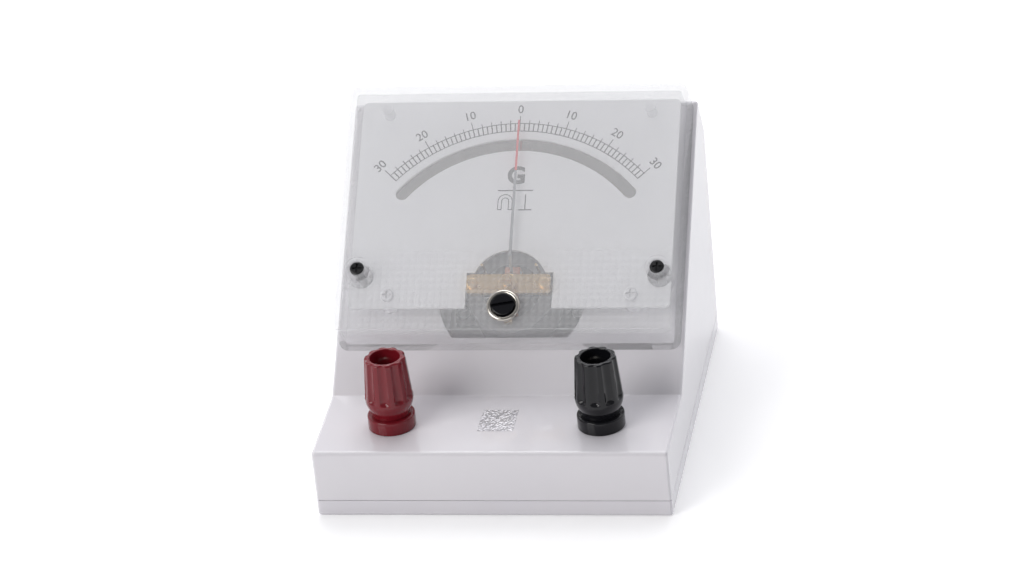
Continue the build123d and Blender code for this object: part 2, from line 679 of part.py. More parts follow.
def make_yoke_ring():
    """Soft-iron ring round the coil, drilled for the clamp screws and the stop pins."""
    yoke = tube(YOKE_OUTER, YOKE_INNER, YOKE_BACK_O, YOKE_FRONT_O)
    for side in (-1, 1):
        hole = BRIDGE_SCREW_RADIUS + FIT_GAP / 2
        yoke -= rod(hole, YOKE_BACK_O - CUT, YOKE_FRONT_O + CUT, side * CLAMP_X)
        x, y = stop_place(side)
        yoke -= rod(STOP_PIN_RADIUS, YOKE_FRONT_O - STOP_DEPTH, YOKE_FRONT_O + CUT, x, y)
    return PIVOT * yoke


def make_stop_pins():
    """Two pins that end the pointer's swing."""
    def one(side):
        x, y = stop_place(side)
        return PIVOT * rod(STOP_PIN_RADIUS - SEAT_GAP, YOKE_FRONT_O - STOP_DEPTH, STOP_TOP_O, x, y)
    return mirrored(one)


def make_core_magnet():
    """Round magnet inside the coil."""
    core = rod(CORE_RADIUS, CORE_BACK_O, CORE_FRONT_O)
    return PIVOT * chamfer(core.edges().filter_by(GeomType.CIRCLE), CORE_CHAMFER)


def make_front_bridge():
    """Brass bridge on two legs, carrying the front jewel screw."""
    reach = CLAMP_X + BRIDGE_OVERHANG
    bridge = slab(2 * reach, BRIDGE_WIDTH, BRIDGE_UNDERSIDE_O, BRIDGE_TOP_O, corner=BRIDGE_CORNER)
    for side in (-1, 1):
        x = side * CLAMP_X
        bridge += rod(BRIDGE_LEG_RADIUS, YOKE_FRONT_O, BRIDGE_UNDERSIDE_O + FIT_GAP, x)
        bridge -= rod(BRIDGE_SCREW_RADIUS + FIT_GAP / 2, YOKE_FRONT_O - CUT, BRIDGE_TOP_O + CUT, x)
    bridge -= rod(JEWEL_SCREW_RADIUS + SEAT_GAP, BRIDGE_UNDERSIDE_O - CUT, BRIDGE_TOP_O + CUT)
    return PIVOT * bridge


def tag_thickness(side):
    """The terminal tag is clamped on the left screw only."""
    return TAG_THICKNESS if side < 0 else 0.0


def make_bridge_screws():
    """Two long screws from the bridge through the yoke to the frame."""
    def one(side):
        end = FRAME_BACK_O - tag_thickness(side) - BRIDGE_NUT_HEIGHT - BRIDGE_SCREW_END
        piece = screw(
            BRIDGE_SCREW_RADIUS, BRIDGE_HEAD_RADIUS, BRIDGE_HEAD_HEIGHT, BRIDGE_TOP_O - end,
            cross=False,
        )
        return PIVOT * Pos(side * CLAMP_X, 0, BRIDGE_TOP_O) * piece
    return mirrored(one)


def make_bridge_nuts():
    """Nuts on the long screws, behind the frame."""
    def one(side):
        high = FRAME_BACK_O - tag_thickness(side)
        bore = BRIDGE_SCREW_RADIUS + SEAT_GAP
        low = high - BRIDGE_NUT_HEIGHT
        return PIVOT * nut(BRIDGE_NUT_ACROSS, bore, low, high, side * CLAMP_X)
    return mirrored(one)


def make_front_terminal_tag():
    """Solder tag under the left nut, for the lead to the front spring."""
    low, high = FRAME_BACK_O - TAG_THICKNESS, FRAME_BACK_O
    length = TERMINAL_Y + TERMINAL_EDGE
    strip = slab(TERMINAL_WIDTH, length, low, high, 0, length / 2, TAG_CORNER)
    tag = rod(BRIDGE_LEG_RADIUS, low, high) + strip
    tag -= rod(BRIDGE_SCREW_RADIUS + FIT_GAP / 2, low - CUT, high + CUT)
    tag -= rod(LEAD_RADIUS / 2, low - CUT, high + CUT, 0, TERMINAL_Y)
    return PIVOT * Pos(-CLAMP_X, 0, 0) * tag


def jewel_screw(low, high, cup_low):
    """Slotted screw along the pivot axis with a round seat for its jewel at the lower end."""
    body = rod(JEWEL_SCREW_RADIUS, low, high)
    body -= slab(JEWEL_SCREW_RADIUS * 3, JEWEL_SLOT_WIDTH, high - JEWEL_SLOT_DEPTH, high + CUT)
    return body - rod(JEWEL_RADIUS + SEAT_GAP, low - CUT, cup_low + JEWEL_HEIGHT + SEAT_GAP)


def jewel(low):
    """Cup jewel with its hollow facing down."""
    stone = rod(JEWEL_RADIUS, low, low + JEWEL_HEIGHT)
    cup = Cone(JEWEL_CUP_RADIUS, FIT_GAP, JEWEL_CUP_DEPTH)
    return stone - Pos(0, 0, low + JEWEL_CUP_DEPTH / 2) * cup


def pivot_pin(start):
    """Straight pin with a fine cone, pointing up."""
    body = rod(PIN_RADIUS, start - FIT_GAP, start + PIN_LENGTH - PIN_TIP)
    cone = Cone(PIN_RADIUS, PIN_TIP_RADIUS, PIN_TIP)
    return body + Pos(0, 0, start + PIN_LENGTH - PIN_TIP / 2) * cone


def make_front_jewel_screw():
    """Front pivot bearing screw."""
    low = FRONT_JEWEL_O - SEAT_GAP
    return PIVOT * jewel_screw(low, low + JEWEL_SCREW_LENGTH, FRONT_JEWEL_O)


def make_rear_jewel_screw():
    """Rear pivot bearing screw, pointing forwards."""
    low = REAR_JEWEL_O - SEAT_GAP
    return PIVOT * TURN_BACK * jewel_screw(low, low + JEWEL_SCREW_LENGTH, REAR_JEWEL_O)


def make_jewels():
    """The two cup jewels."""
    return group(PIVOT * jewel(FRONT_JEWEL_O), PIVOT * TURN_BACK * jewel(REAR_JEWEL_O))


def make_lock_nuts():
    """Thin nuts that lock the two jewel screws."""
    bore = JEWEL_SCREW_RADIUS + SEAT_GAP
    low = LEVER_O + LEVER_THICKNESS + SEAT_GAP
    front = nut(JEWEL_NUT_ACROSS, bore, low, low + JEWEL_NUT_HEIGHT)
    rear = nut(JEWEL_NUT_ACROSS, bore, -FRAME_BACK_O, -FRAME_BACK_O + JEWEL_NUT_HEIGHT)
    return group(PIVOT * front, PIVOT * TURN_BACK * rear)


def coil_loop(inside, thickness):
    """Rectangular loop round the core, in the plane of the pivot axis and the pointer."""
    gap = inside - CORE_RADIUS
    height = CORE_LENGTH + 2 * gap
    middle = (CORE_FRONT_O + CORE_BACK_O) / 2
    outer = RectangleRounded(2 * (inside + thickness), height + 2 * thickness, COIL_CORNER)
    inner = RectangleRounded(2 * inside, height, FORMER_CORNER)
    face = Pos(0, middle) * (outer - inner)
    return extrude(Plane.YZ * face, COIL_HALF_WIDTH, both=True)


def make_coil_former():
    """Thin aluminium frame that damps the swing."""
    return PIVOT * coil_loop(FORMER_INSIDE, FORMER_THICKNESS)


def make_coil_winding():
    """Winding on the former."""
    return PIVOT * coil_loop(FORMER_OUTSIDE, WINDING_THICKNESS)


def make_front_pivot():
    """Hub, collet and pin on the front of the coil."""
    hub = rod(HUB_RADIUS, COIL_FRONT_O, POINTER_PLATE_O)
    hub += rod(COLLET_RADIUS, COIL_FRONT_O, PIN_START_O)
    return PIVOT * (hub + pivot_pin(PIN_START_O))


def make_rear_pivot():
    """Hub, collet and pin on the back of the coil."""
    start = -COIL_BACK_O
    hub = rod(HUB_RADIUS, start, start + HUB_THICKNESS)
    hub += rod(COLLET_RADIUS, start, -REAR_PIN_START_O)
    return PIVOT * TURN_BACK * (hub + pivot_pin(-REAR_PIN_START_O))


def make_pointer():
    """Cranked aluminium pointer with its tail and two cross arms."""
    low = POINTER_PLATE_O
    mid = low + POINTER_THICKNESS / 2
    line = Polyline((0, mid), (CRANK_START, mid), (CRANK_END, POINTER_O), (POINTER_REACH, POINTER_O))
    side_view = extrude(Plane.YZ * trace(line, POINTER_THICKNESS), POINTER_ROOT_WIDTH, both=True)
    half_root, half_tip = POINTER_ROOT_WIDTH / 2, POINTER_TIP_WIDTH / 2
    plan = Polyline(
        (-half_root, 0), (-half_root, CRANK_END), (-half_tip, POINTER_REACH),
        (half_tip, POINTER_REACH), (half_root, CRANK_END), (half_root, 0), close=True,
    )
    blade = side_view & Pos(0, 0, low - CUT) * extrude(
        make_face(plan), POINTER_O - low + 3 * CUT
    )
    high = low + POINTER_THICKNESS
    blade += rod(HUB_RADIUS + HUB_RIM, low, high)
    blade += slab(POINTER_ROOT_WIDTH, TAIL_REACH, low, high, 0, -TAIL_REACH / 2)
    blade += slab(2 * CROSS_REACH, POINTER_ROOT_WIDTH, low, high)
    return PIVOT * (blade - rod(COLLET_RADIUS, low - CUT, high + CUT))


def weight(radius, length):
    """Small round weight that slides on an arm along Y, with a slot for the arm."""
    body = Rot(90, 0, 0) * Cylinder(radius, length)
    return body - Box(POINTER_ROOT_WIDTH, length + CUT, POINTER_THICKNESS)


def make_balance_weights():
    """Two weights on the cross arms and a heavier one on the tail."""
    height = POINTER_PLATE_O + POINTER_THICKNESS / 2
    tail = Pos(0, WEIGHT_LENGTH / 2 + WEIGHT_END - TAIL_REACH, height) * weight(
        TAIL_WEIGHT_RADIUS, WEIGHT_LENGTH
    )
    cross = Rot(0, 0, 90) * weight(CROSS_WEIGHT_RADIUS, WEIGHT_LENGTH)
    reach = CROSS_REACH - WEIGHT_LENGTH / 2 - WEIGHT_END
    return group(
        PIVOT * tail,
        PIVOT * Pos(reach, 0, height) * cross,
        PIVOT * Pos(-reach, 0, height) * cross,
    )


def hairspring(low):
    """Flat spiral strip from the collet to its fixed end."""
    steps = 16 * SPRING_TURNS
    start = COLLET_RADIUS + SEAT_GAP
    growth = SPRING_OUTER_RADIUS - SPRING_STRIP - start
    first = radians(SPRING_END_ANGLE) - 2 * pi * SPRING_TURNS

    def edge(shift):
        points = []
        for step in range(steps + 1):
            share = step / steps
            radius = start + shift + growth * share
            angle = first + 2 * pi * SPRING_TURNS * share
            points.append((radius * cos(angle), radius * sin(angle)))
        return points

    inner, outer = edge(0), edge(SPRING_STRIP)
    outline = [
        Spline(inner), Line(inner[-1], outer[-1]), Spline(outer[::-1]), Line(outer[0], inner[0])
    ]
    return Pos(0, 0, low) * extrude(make_face(outline), SPRING_HEIGHT)


def spring_tab(low, high):
    """Upright tab that holds a spring's outer end, just outside it."""
    angle = radians(SPRING_END_ANGLE)
    reach = SPRING_OUTER_RADIUS + SEAT_GAP + TAB_THICKNESS / 2
    turn = Rot(0, 0, SPRING_END_ANGLE)
    return Pos(reach * cos(angle), reach * sin(angle), 0) * turn * slab(
        TAB_THICKNESS, TAB_WIDTH, low, high
    )


def spring_holder(low, high, tab_low, tab_high):
    """Flat ring round the jewel screw with an ear that carries the tab."""
    ring = rod(LEVER_RING_RADIUS, low, high)
    ear = SPRING_OUTER_RADIUS + SEAT_GAP + TAB_THICKNESS
    turn = Rot(0, 0, SPRING_END_ANGLE)
    ring += turn * slab(ear, TAB_WIDTH, low, high, ear / 2, 0)
    return ring + spring_tab(tab_low, tab_high)


def make_zero_lever():
    """Forked lever under the front lock nut; it carries the front spring's outer end."""
    low, high = LEVER_O, LEVER_O + LEVER_THICKNESS
    lever = spring_holder(low, high, FRONT_SPRING_O, high)
    reach = FORK_PITCH + ECCENTRIC + LEVER_END
    lever += slab(LEVER_WIDTH, reach, low, high, 0, -reach / 2, LEVER_CORNER)
    slot = 2 * (ECCENTRIC_PIN_RADIUS + FORK_CLEAR)
    start = FORK_PITCH - ECCENTRIC_PIN_RADIUS - FORK_ROOT
    lever -= slab(slot, reach, low - CUT, high + CUT, 0, -start - reach / 2)
    return PIVOT * (lever - rod(JEWEL_SCREW_RADIUS + RUNNING_GAP, low - CUT, high + CUT))


def make_rear_spring_arm():
    """Fixed arm behind the coil; its long end is the tag for the other lead."""
    low, high = FRAME_FRONT_O, FRAME_FRONT_O + LEVER_THICKNESS
    arm = spring_holder(low, high, low, REAR_SPRING_O + SPRING_HEIGHT)
    x, y = lead_hole(1)
    hole = sqrt(x**2 + y**2)
    length = hole + TERMINAL_EDGE
    strip = slab(length, LEVER_WIDTH, low, high, length / 2, 0, ARM_CORNER)
    strip -= rod(LEAD_RADIUS / 2, low - CUT, high + CUT, hole)
    arm += Rot(0, 0, degrees(atan2(y, x))) * strip
    return PIVOT * (arm - rod(JEWEL_SCREW_RADIUS + SEAT_GAP, low - CUT, high + CUT))


def ferrule_sleeve_radius():
    """Outside of the ferrule where it passes the cover."""
    return ADJUSTER_HEAD_RADIUS + RUNNING_GAP + FERRULE_WALL


def make_adjuster_ferrule():
    """Bright ring in the cover, stepped inside to carry the adjuster's head."""
    sleeve, bore = ferrule_sleeve_radius(), ADJUSTER_HEAD_RADIUS + RUNNING_GAP
    high = COVER_HEIGHT + FERRULE_FLANGE_HEIGHT
    ring = rod(sleeve, FERRULE_LOW_O, high)
    ring += rod(FERRULE_FLANGE_RADIUS, COVER_HEIGHT, high)
    ring = chamfer(ring.edges().filter_by(GeomType.CIRCLE).sort_by(Axis.Z)[-1], FERRULE_CHAMFER)
    ring -= rod(bore, FERRULE_LOW_O + FERRULE_WEB, high + CUT)
    ring -= rod(ADJUSTER_STEM_RADIUS + RUNNING_GAP, FERRULE_LOW_O - CUT, high)
    return PANEL * Pos(0, ADJUSTER_U, 0) * ring


def make_zero_adjuster():
    """Slotted head, stem and eccentric pin."""
    seat = FERRULE_LOW_O + FERRULE_WEB + RUNNING_GAP
    top = seat + ADJUSTER_HEAD_HEIGHT
    head = rod(ADJUSTER_HEAD_RADIUS, seat, top)
    head = fillet(head.edges().sort_by(Axis.Z)[-1], ADJUSTER_HEAD_ROUND)
    slot = slab(ADJUSTER_HEAD_RADIUS * 3, ADJUSTER_SLOT_WIDTH, top - ADJUSTER_SLOT_DEPTH, top + CUT)
    head -= Rot(0, 0, ADJUSTER_SLOT_TILT) * slot
    low = FERRULE_LOW_O - CLIP_THICKNESS - FIT_GAP - ADJUSTER_STEM_END
    stem = rod(ADJUSTER_STEM_RADIUS, low, seat + FIT_GAP)
    pin = rod(ECCENTRIC_PIN_RADIUS, PIN_LOW_O, low + FIT_GAP, 0, ECCENTRIC)
    return PANEL * Pos(0, ADJUSTER_U, 0) * (head + stem + pin)


def make_adjuster_clip():
    """Ring pressed on the stem behind the ferrule."""
    high = FERRULE_LOW_O - FIT_GAP
    ring = tube(CLIP_RADIUS, ADJUSTER_STEM_RADIUS + SEAT_GAP / 2, high - CLIP_THICKNESS, high)
    return PANEL * Pos(0, ADJUSTER_U, 0) * ring


def post_place(side):
    """Centre of a post at the shelf's surface."""
    return SHELF * Pos(side * POST_X, POST_FRONT, 0)


def make_collar():
    """Insulating collar with a spigot through the shelf and a seat for the stud's flange."""
    collar = rod(COLLAR_RADIUS, 0, COLLAR_HEIGHT)
    collar = chamfer(collar.edges().filter_by(GeomType.CIRCLE), COLLAR_CHAMFER)
    collar += rod(SPIGOT_RADIUS, -WALL + SEAT_GAP, FIT_GAP)
    seat = COLLAR_HEIGHT - STUD_FLANGE_HEIGHT
    collar -= rod(STUD_FLANGE_RADIUS + FIT_GAP, seat, COLLAR_HEIGHT + CUT)
    return collar - rod(STUD_RADIUS + FIT_GAP, -WALL * 2, COLLAR_HEIGHT + CUT)


def make_stud():
    """Threaded stud with the plug socket in its top and a cross hole for a bare wire."""
    stud = rod(STUD_RADIUS, -STUD_TAIL, STUD_TOP)
    ends = stud.edges().filter_by(GeomType.CIRCLE).sort_by(Axis.Z)
    stud = chamfer(ends[0], STUD_CHAMFER)
    stud += rod(STUD_FLANGE_RADIUS, COLLAR_HEIGHT - STUD_FLANGE_HEIGHT, COLLAR_HEIGHT)
    stud -= rod(SOCKET_RADIUS, STUD_TOP - SOCKET_DEPTH, STUD_TOP + CUT)
    lead_in = Cone(SOCKET_RADIUS, SOCKET_RADIUS + SOCKET_LEAD_IN, SOCKET_LEAD_IN)
    stud -= Pos(0, 0, STUD_TOP - SOCKET_LEAD_IN / 2) * lead_in
    cross = Rot(0, 90, 0) * Cylinder(WIRE_HOLE_RADIUS, STUD_RADIUS * 3)
    return stud - Pos(0, 0, COLLAR_HEIGHT + WIRE_HOLE_RADIUS + WIRE_HOLE_SILL) * cross


def make_cap():
    """Waisted clamp cap: fluted sides, open mouth, pocket for its insert, hollow foot."""
    belly, top = CAP_LOW + CAP_BELLY_RISE, CAP_LOW + CAP_HEIGHT
    foot = CAP_LOW + CAP_FOOT_HEIGHT
    outline = [
        Line((0, CAP_LOW), (CAP_FOOT_RADIUS, CAP_LOW)),
        Line((CAP_FOOT_RADIUS, CAP_LOW), (CAP_FOOT_RADIUS, foot)),
        Spline((CAP_FOOT_RADIUS, foot), (CAP_BELLY_RADIUS, belly), tangents=[(0.2, 1), (-0.1, 1)]),
        Line((CAP_BELLY_RADIUS, belly), (CAP_TOP_RADIUS, top)),
        Line((CAP_TOP_RADIUS, top), (0, top)),
        Line((0, top), (0, CAP_LOW)),
    ]
    cap = revolve(Plane.XZ * make_face(outline), Axis.Z)
    cap = fillet(cap.edges().filter_by(GeomType.CIRCLE).sort_by(Axis.Z)[-1], CAP_RIM_ROUND)
    lean = atan2(CAP_BELLY_RADIUS - CAP_TOP_RADIUS, top - belly)
    start = CAP_LOW + FLUTE_RISE
    radius_at_start = CAP_BELLY_RADIUS - (start - belly) * tan(lean)
    reach = radius_at_start + FLUTE_RADIUS - FLUTE_DEPTH
    cutter = rod(FLUTE_RADIUS, 0, CAP_HEIGHT) + Sphere(FLUTE_RADIUS)
    cutter = Pos(reach, 0, start + FLUTE_RADIUS) * Rot(0, -degrees(lean), 0) * cutter
    for step in range(FLUTE_COUNT):
        cap -= Rot(0, 0, 360 / FLUTE_COUNT * (step + 0.5)) * cutter
    cap -= rod(CAP_MOUTH_RADIUS, STUD_TOP, top + CUT)
    cap -= rod(STUD_RADIUS + CAP_THROAT_GAP, CAP_LOW - CUT, top)
    ledge = CAP_LOW + CAP_RECESS_DEPTH
    cap -= rod(CAP_RECESS_RADIUS, CAP_LOW - CUT, ledge)
    return cap - rod(INSERT_OUTER + RUNNING_GAP, CAP_LOW, ledge + INSERT_LENGTH + RUNNING_GAP)


def make_cap_insert():
    """Threaded metal bush inside the cap; its lower face clamps the wire."""
    low = CAP_LOW + CAP_RECESS_DEPTH
    return tube(INSERT_OUTER, STUD_RADIUS + RUNNING_GAP, low, low + INSERT_LENGTH)


def make_inner_washer():
    """Insulating washer under the shelf."""
    return tube(WASHER_RADIUS, STUD_RADIUS + FIT_GAP, WASHER_LOW, -WALL)


def make_post_nuts():
    """Two nuts on the stud, with the tag between them."""
    bore = STUD_RADIUS + SEAT_GAP
    upper = nut(NUT_ACROSS, bore, UPPER_NUT_LOW, WASHER_LOW)
    return group(upper, nut(NUT_ACROSS, bore, TAG_LOW - NUT_HEIGHT, TAG_LOW))


def make_solder_tag():
    """Ring tag with a tail to the back."""
    high = UPPER_NUT_LOW
    tag = rod(POST_TAG_RADIUS, TAG_LOW, high)
    tag += slab(POST_TAG_WIDTH, POST_TAG_TAIL, TAG_LOW, high, 0, POST_TAG_TAIL / 2, TAG_CORNER)
    tag -= rod(POST_TAG_HOLE, TAG_LOW - CUT, high + CUT, 0, POST_TAG_TAIL - POST_TAG_EDGE)
    return tag - rod(STUD_RADIUS + FIT_GAP, TAG_LOW - CUT, high + CUT)


def lead_points(side):
    """A lead's route from its post's tag, beside the well, up through its floor."""
    start = post_place(side) * Pos(0, POST_TAG_TAIL, TAG_LOW - LEAD_RADIUS - SEAT_GAP)
    x, y = lead_hole(side)
    terminal = FRAME_BACK_O - TAG_THICKNESS if side < 0 else FRAME_FRONT_O
    first = start.position
    hole = (PIVOT * Pos(x, y, -WELL_DEPTH - WELL_WALL - LEAD_ENTRY)).position

    def on_the_way(across, along, rise):
        """Point at a share of the way across and along to the hole, above the base's floor."""
        way = hole - first
        return Vector(
            first.X + across * way.X, first.Y + along * way.Y, WALL + LEAD_RADIUS + rise
        )

    return [
        first,
        on_the_way(-0.07, 0.22, LEAD_ARCH),
        on_the_way(-0.05, 0.49, LEAD_SAG),
        on_the_way(0.2, 0.76, LEAD_SAG),
        on_the_way(0.6, 0.98, LEAD_CLIMB),
        hole,
        (PIVOT * Pos(x, y, terminal - SEAT_GAP)).position,
    ]


def make_lead(side):
    """Insulated wire: straight runs joined by arcs as large as the runs allow."""
    points = lead_points(side)
    radii = []
    for before, corner, after in zip(points, points[1:], points[2:]):
        a, b = corner - before, after - corner
        turn = radians(a.get_angle(b))
        radii.append(LEAD_FULLNESS * min(a.length, b.length) / tan(turn / 2))
    path = FilletPolyline(*points, radius=radii)
    section = Plane(origin=path @ 0, z_dir=path % 0) * Circle(LEAD_RADIUS)
    return sweep(section, path=path)


def main():
    """Build every node and write it."""
    outside, inside = outer_body(), inset_body(WALL)
    save("housing", make_housing(outside, inside))
    save("base_plate", make_base_plate(outside, inside))
    save("base_screws", make_base_screws())
    save("foil_label", make_foil_label())
    save("meter_cover", make_meter_cover())
    save("cover_screws", make_cover_screws())
    save("adjuster_ferrule", make_adjuster_ferrule())
    save("zero_adjuster", make_zero_adjuster())
    save("adjuster_clip", make_adjuster_clip())
    save("dial_plate", make_dial_plate())
    save("mirror_strip", make_mirror_strip())
    save("dial_screws", make_dial_screws())
    save("movement_frame", make_movement_frame())
    save("movement_screws", make_movement_screws())
    save("yoke_ring", make_yoke_ring())
    save("stop_pins", make_stop_pins())
    save("core_magnet", make_core_magnet())
    save("front_bridge", make_front_bridge())
    save("bridge_screws", make_bridge_screws())
    save("bridge_nuts", make_bridge_nuts())
    save("front_terminal_tag", make_front_terminal_tag())
    save("front_jewel_screw", make_front_jewel_screw())
    save("rear_jewel_screw", make_rear_jewel_screw())
    save("pivot_jewels", make_jewels())
    save("lock_nuts", make_lock_nuts())
    save("coil_former", make_coil_former())
    save("coil_winding", make_coil_winding())
    save("front_pivot", make_front_pivot())
    save("rear_pivot", make_rear_pivot())
    save("pointer", make_pointer())
    save("balance_weights", make_balance_weights())
    save("front_hairspring", PIVOT * hairspring(FRONT_SPRING_O))
    save("rear_hairspring", PIVOT * hairspring(REAR_SPRING_O))
    save("zero_lever", make_zero_lever())
    save("rear_spring_arm", make_rear_spring_arm())
    for colour, side in (("red", -1), ("black", 1)):
        place = post_place(side)
        save(f"{colour}_collar", place * make_collar())
        save(f"{colour}_stud", place * make_stud())
        save(f"{colour}_cap", place * make_cap())
        save(f"{colour}_cap_insert", place * make_cap_insert())
        save(f"{colour}_inner_washer", place * make_inner_washer())
        save(f"{colour}_post_nuts", place * make_post_nuts())
        save(f"{colour}_solder_tag", place * make_solder_tag())
        save(f"{colour}_lead", make_lead(side))


main()
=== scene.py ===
"""Looks of a moving-coil galvanometer on a sloping desk stand.

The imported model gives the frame: metres, +Z up, +X to the reader's right, +Y away from the reader.
Pieces on the sloping panel are modelled flat at the world's origin, with +Y up the slope and +Z out
of the panel, and are then placed on the pivot axis of the pointer.
"""
import json
import logging
import math
from dataclasses import dataclass, field
from enum import Enum
from typing import Callable, Sequence

import bmesh
import bpy
from mathutils import Matrix, Vector


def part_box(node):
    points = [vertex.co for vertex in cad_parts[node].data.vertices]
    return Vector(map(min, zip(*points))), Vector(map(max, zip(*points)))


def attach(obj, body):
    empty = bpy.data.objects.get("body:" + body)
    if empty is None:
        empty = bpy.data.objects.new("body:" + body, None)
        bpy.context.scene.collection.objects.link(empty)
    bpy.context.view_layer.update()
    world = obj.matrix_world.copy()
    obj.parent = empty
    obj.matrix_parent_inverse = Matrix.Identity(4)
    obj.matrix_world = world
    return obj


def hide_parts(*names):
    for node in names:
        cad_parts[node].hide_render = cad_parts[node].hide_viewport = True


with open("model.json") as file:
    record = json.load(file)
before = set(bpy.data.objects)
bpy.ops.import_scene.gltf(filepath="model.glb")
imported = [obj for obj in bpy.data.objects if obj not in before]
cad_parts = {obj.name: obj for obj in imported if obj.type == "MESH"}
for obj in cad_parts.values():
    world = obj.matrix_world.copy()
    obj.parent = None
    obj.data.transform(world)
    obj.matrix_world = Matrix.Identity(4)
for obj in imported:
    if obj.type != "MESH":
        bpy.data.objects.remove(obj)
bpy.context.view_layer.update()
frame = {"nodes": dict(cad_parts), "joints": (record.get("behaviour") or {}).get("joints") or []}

LOG = logging.getLogger("galvanometer")
MM = 0.001
NEAR = 0.001 * MM
Colour = tuple[float, float, float]
Place = tuple[float, float, float]


class Side(Enum):
    """The two binding posts, named as their nodes are."""

    RED = "red"
    BLACK = "black"


class Sheet:
    """A node tree with short ways to add and join nodes."""

    def __init__(self, tree: bpy.types.NodeTree) -> None:
        """Keep the tree.

        Args:
            tree: a material's or a group's node tree.
        """
        self.tree = tree

    def add(self, kind: str, **settings: object) -> bpy.types.Node:
        """Add a node.

        Args:
            kind: the node's type.
            settings: properties of the node, such as operation.

        Returns:
            The new node.
        """
        node = self.tree.nodes.new(kind)
        for name, value in settings.items():
            setattr(node, name, value)
        return node

    def feed(self, socket: bpy.types.NodeSocket, source: object) -> None:
        """Link an output, or write a plain value, into an input.

        Args:
            socket: the input.
            source: an output socket, a number or a colour.
        """
        if isinstance(source, bpy.types.NodeSocket):
            self.tree.links.new(source, socket)
        elif isinstance(source, tuple) and len(source) == 3 and socket.type == "RGBA":
            socket.default_value = (*source, 1.0)
        else:
            socket.default_value = source

    def math(self, operation: str, first: object, second: object = 0.0) -> bpy.types.NodeSocket:
        """Join two values with a Math node.

        Args:
            operation: the node's operation.
            first: the first value or output.
            second: the second value or output.

        Returns:
            The result.
        """
        node = self.add("ShaderNodeMath", operation=operation)
        self.feed(node.inputs[0], first)
        self.feed(node.inputs[1], second)
        return node.outputs[0]

    def blend(self, factor: object, first: object, second: object) -> bpy.types.NodeSocket:
        """Mix two colours.

        Args:
            factor: share of the second colour.
            first: colour or output at 0.
            second: colour or output at 1.

        Returns:
            The mixed colour.
        """
        node = self.add("ShaderNodeMix", data_type="RGBA")
        self.feed(node.inputs["Factor"], factor)
        self.feed(node.inputs[6], first)
        self.feed(node.inputs[7], second)
        return node.outputs[2]

    def noise(self, where: object, scale: float, detail: float = 2.0) -> bpy.types.NodeSocket:
        """Noise between 0 and 1.

        Args:
            where: the coordinates.
            scale: cells in a metre.
            detail: octaves.

        Returns:
            The noise value.
        """
        node = self.add("ShaderNodeTexNoise")
        self.feed(node.inputs["Vector"], where)
        node.inputs["Scale"].default_value = scale
        node.inputs["Detail"].default_value = detail
        return node.outputs["Fac"]

    def spread(
        self, value: object, low: float, high: float, to_low: float = 0.0, to_high: float = 1.0
    ) -> bpy.types.NodeSocket:
        """Map a value from one range to another, clamped.

        Args:
            value: the value.
            low: start of its range.
            high: end of its range.
            to_low: result at the start.
            to_high: result at the end.

        Returns:
            The mapped value.
        """
        node = self.add("ShaderNodeMapRange")
        self.feed(node.inputs["Value"], value)
        for name, number in (("From Min", low), ("From Max", high), ("To Min", to_low), ("To Max", to_high)):
            node.inputs[name].default_value = number
        return node.outputs["Result"]


class Surface(Sheet):
    """A material's node tree, with its shader and the object's coordinates."""

    def __init__(self, material: bpy.types.Material) -> None:
        """Clear the material and give it a Principled shader.

        Args:
            material: the material.
        """
        material.use_nodes = True
        material.node_tree.nodes.clear()
        super().__init__(material.node_tree)
        self.end = self.add("ShaderNodeOutputMaterial")
        self.shader = self.add("ShaderNodeBsdfPrincipled")
        self.where = self.add("ShaderNodeTexCoord").outputs["Object"]


Group = tuple[bpy.types.NodeTree, Sheet, dict[str, bpy.types.NodeSocket]]


def surface_group(name: str, inputs: Sequence[tuple[str, str, object]]) -> Group:
    """Start a shader group that puts out a colour, a roughness and a height.

    Args:
        name: the group's name.
        inputs: name, socket type and default of each input.

    Returns:
        The group, its sheet and its inputs by name.
    """
    tree = bpy.data.node_groups.new(name, "ShaderNodeTree")
    for label, kind, value in inputs:
        socket = tree.interface.new_socket(label, in_out="INPUT", socket_type=kind)
        if value is not None:
            socket.default_value = value
    results = {"Colour": "NodeSocketColor", "Roughness": "NodeSocketFloat", "Height": "NodeSocketFloat"}
    for label, kind in results.items():
        tree.interface.new_socket(label, in_out="OUTPUT", socket_type=kind)
    sheet = Sheet(tree)
    entry = sheet.add("NodeGroupInput")
    return tree, sheet, {label: entry.outputs[label] for label, _, _ in inputs}


def close_group(sheet: Sheet, colour: object, roughness: object, height: object) -> None:
    """Join a group's results to its outputs.

    Args:
        sheet: the group's sheet.
        colour: colour result.
        roughness: roughness result.
        height: height result.
    """
    end = sheet.add("NodeGroupOutput")
    sheet.feed(end.inputs["Colour"], colour)
    sheet.feed(end.inputs["Roughness"], roughness)
    sheet.feed(end.inputs["Height"], height)


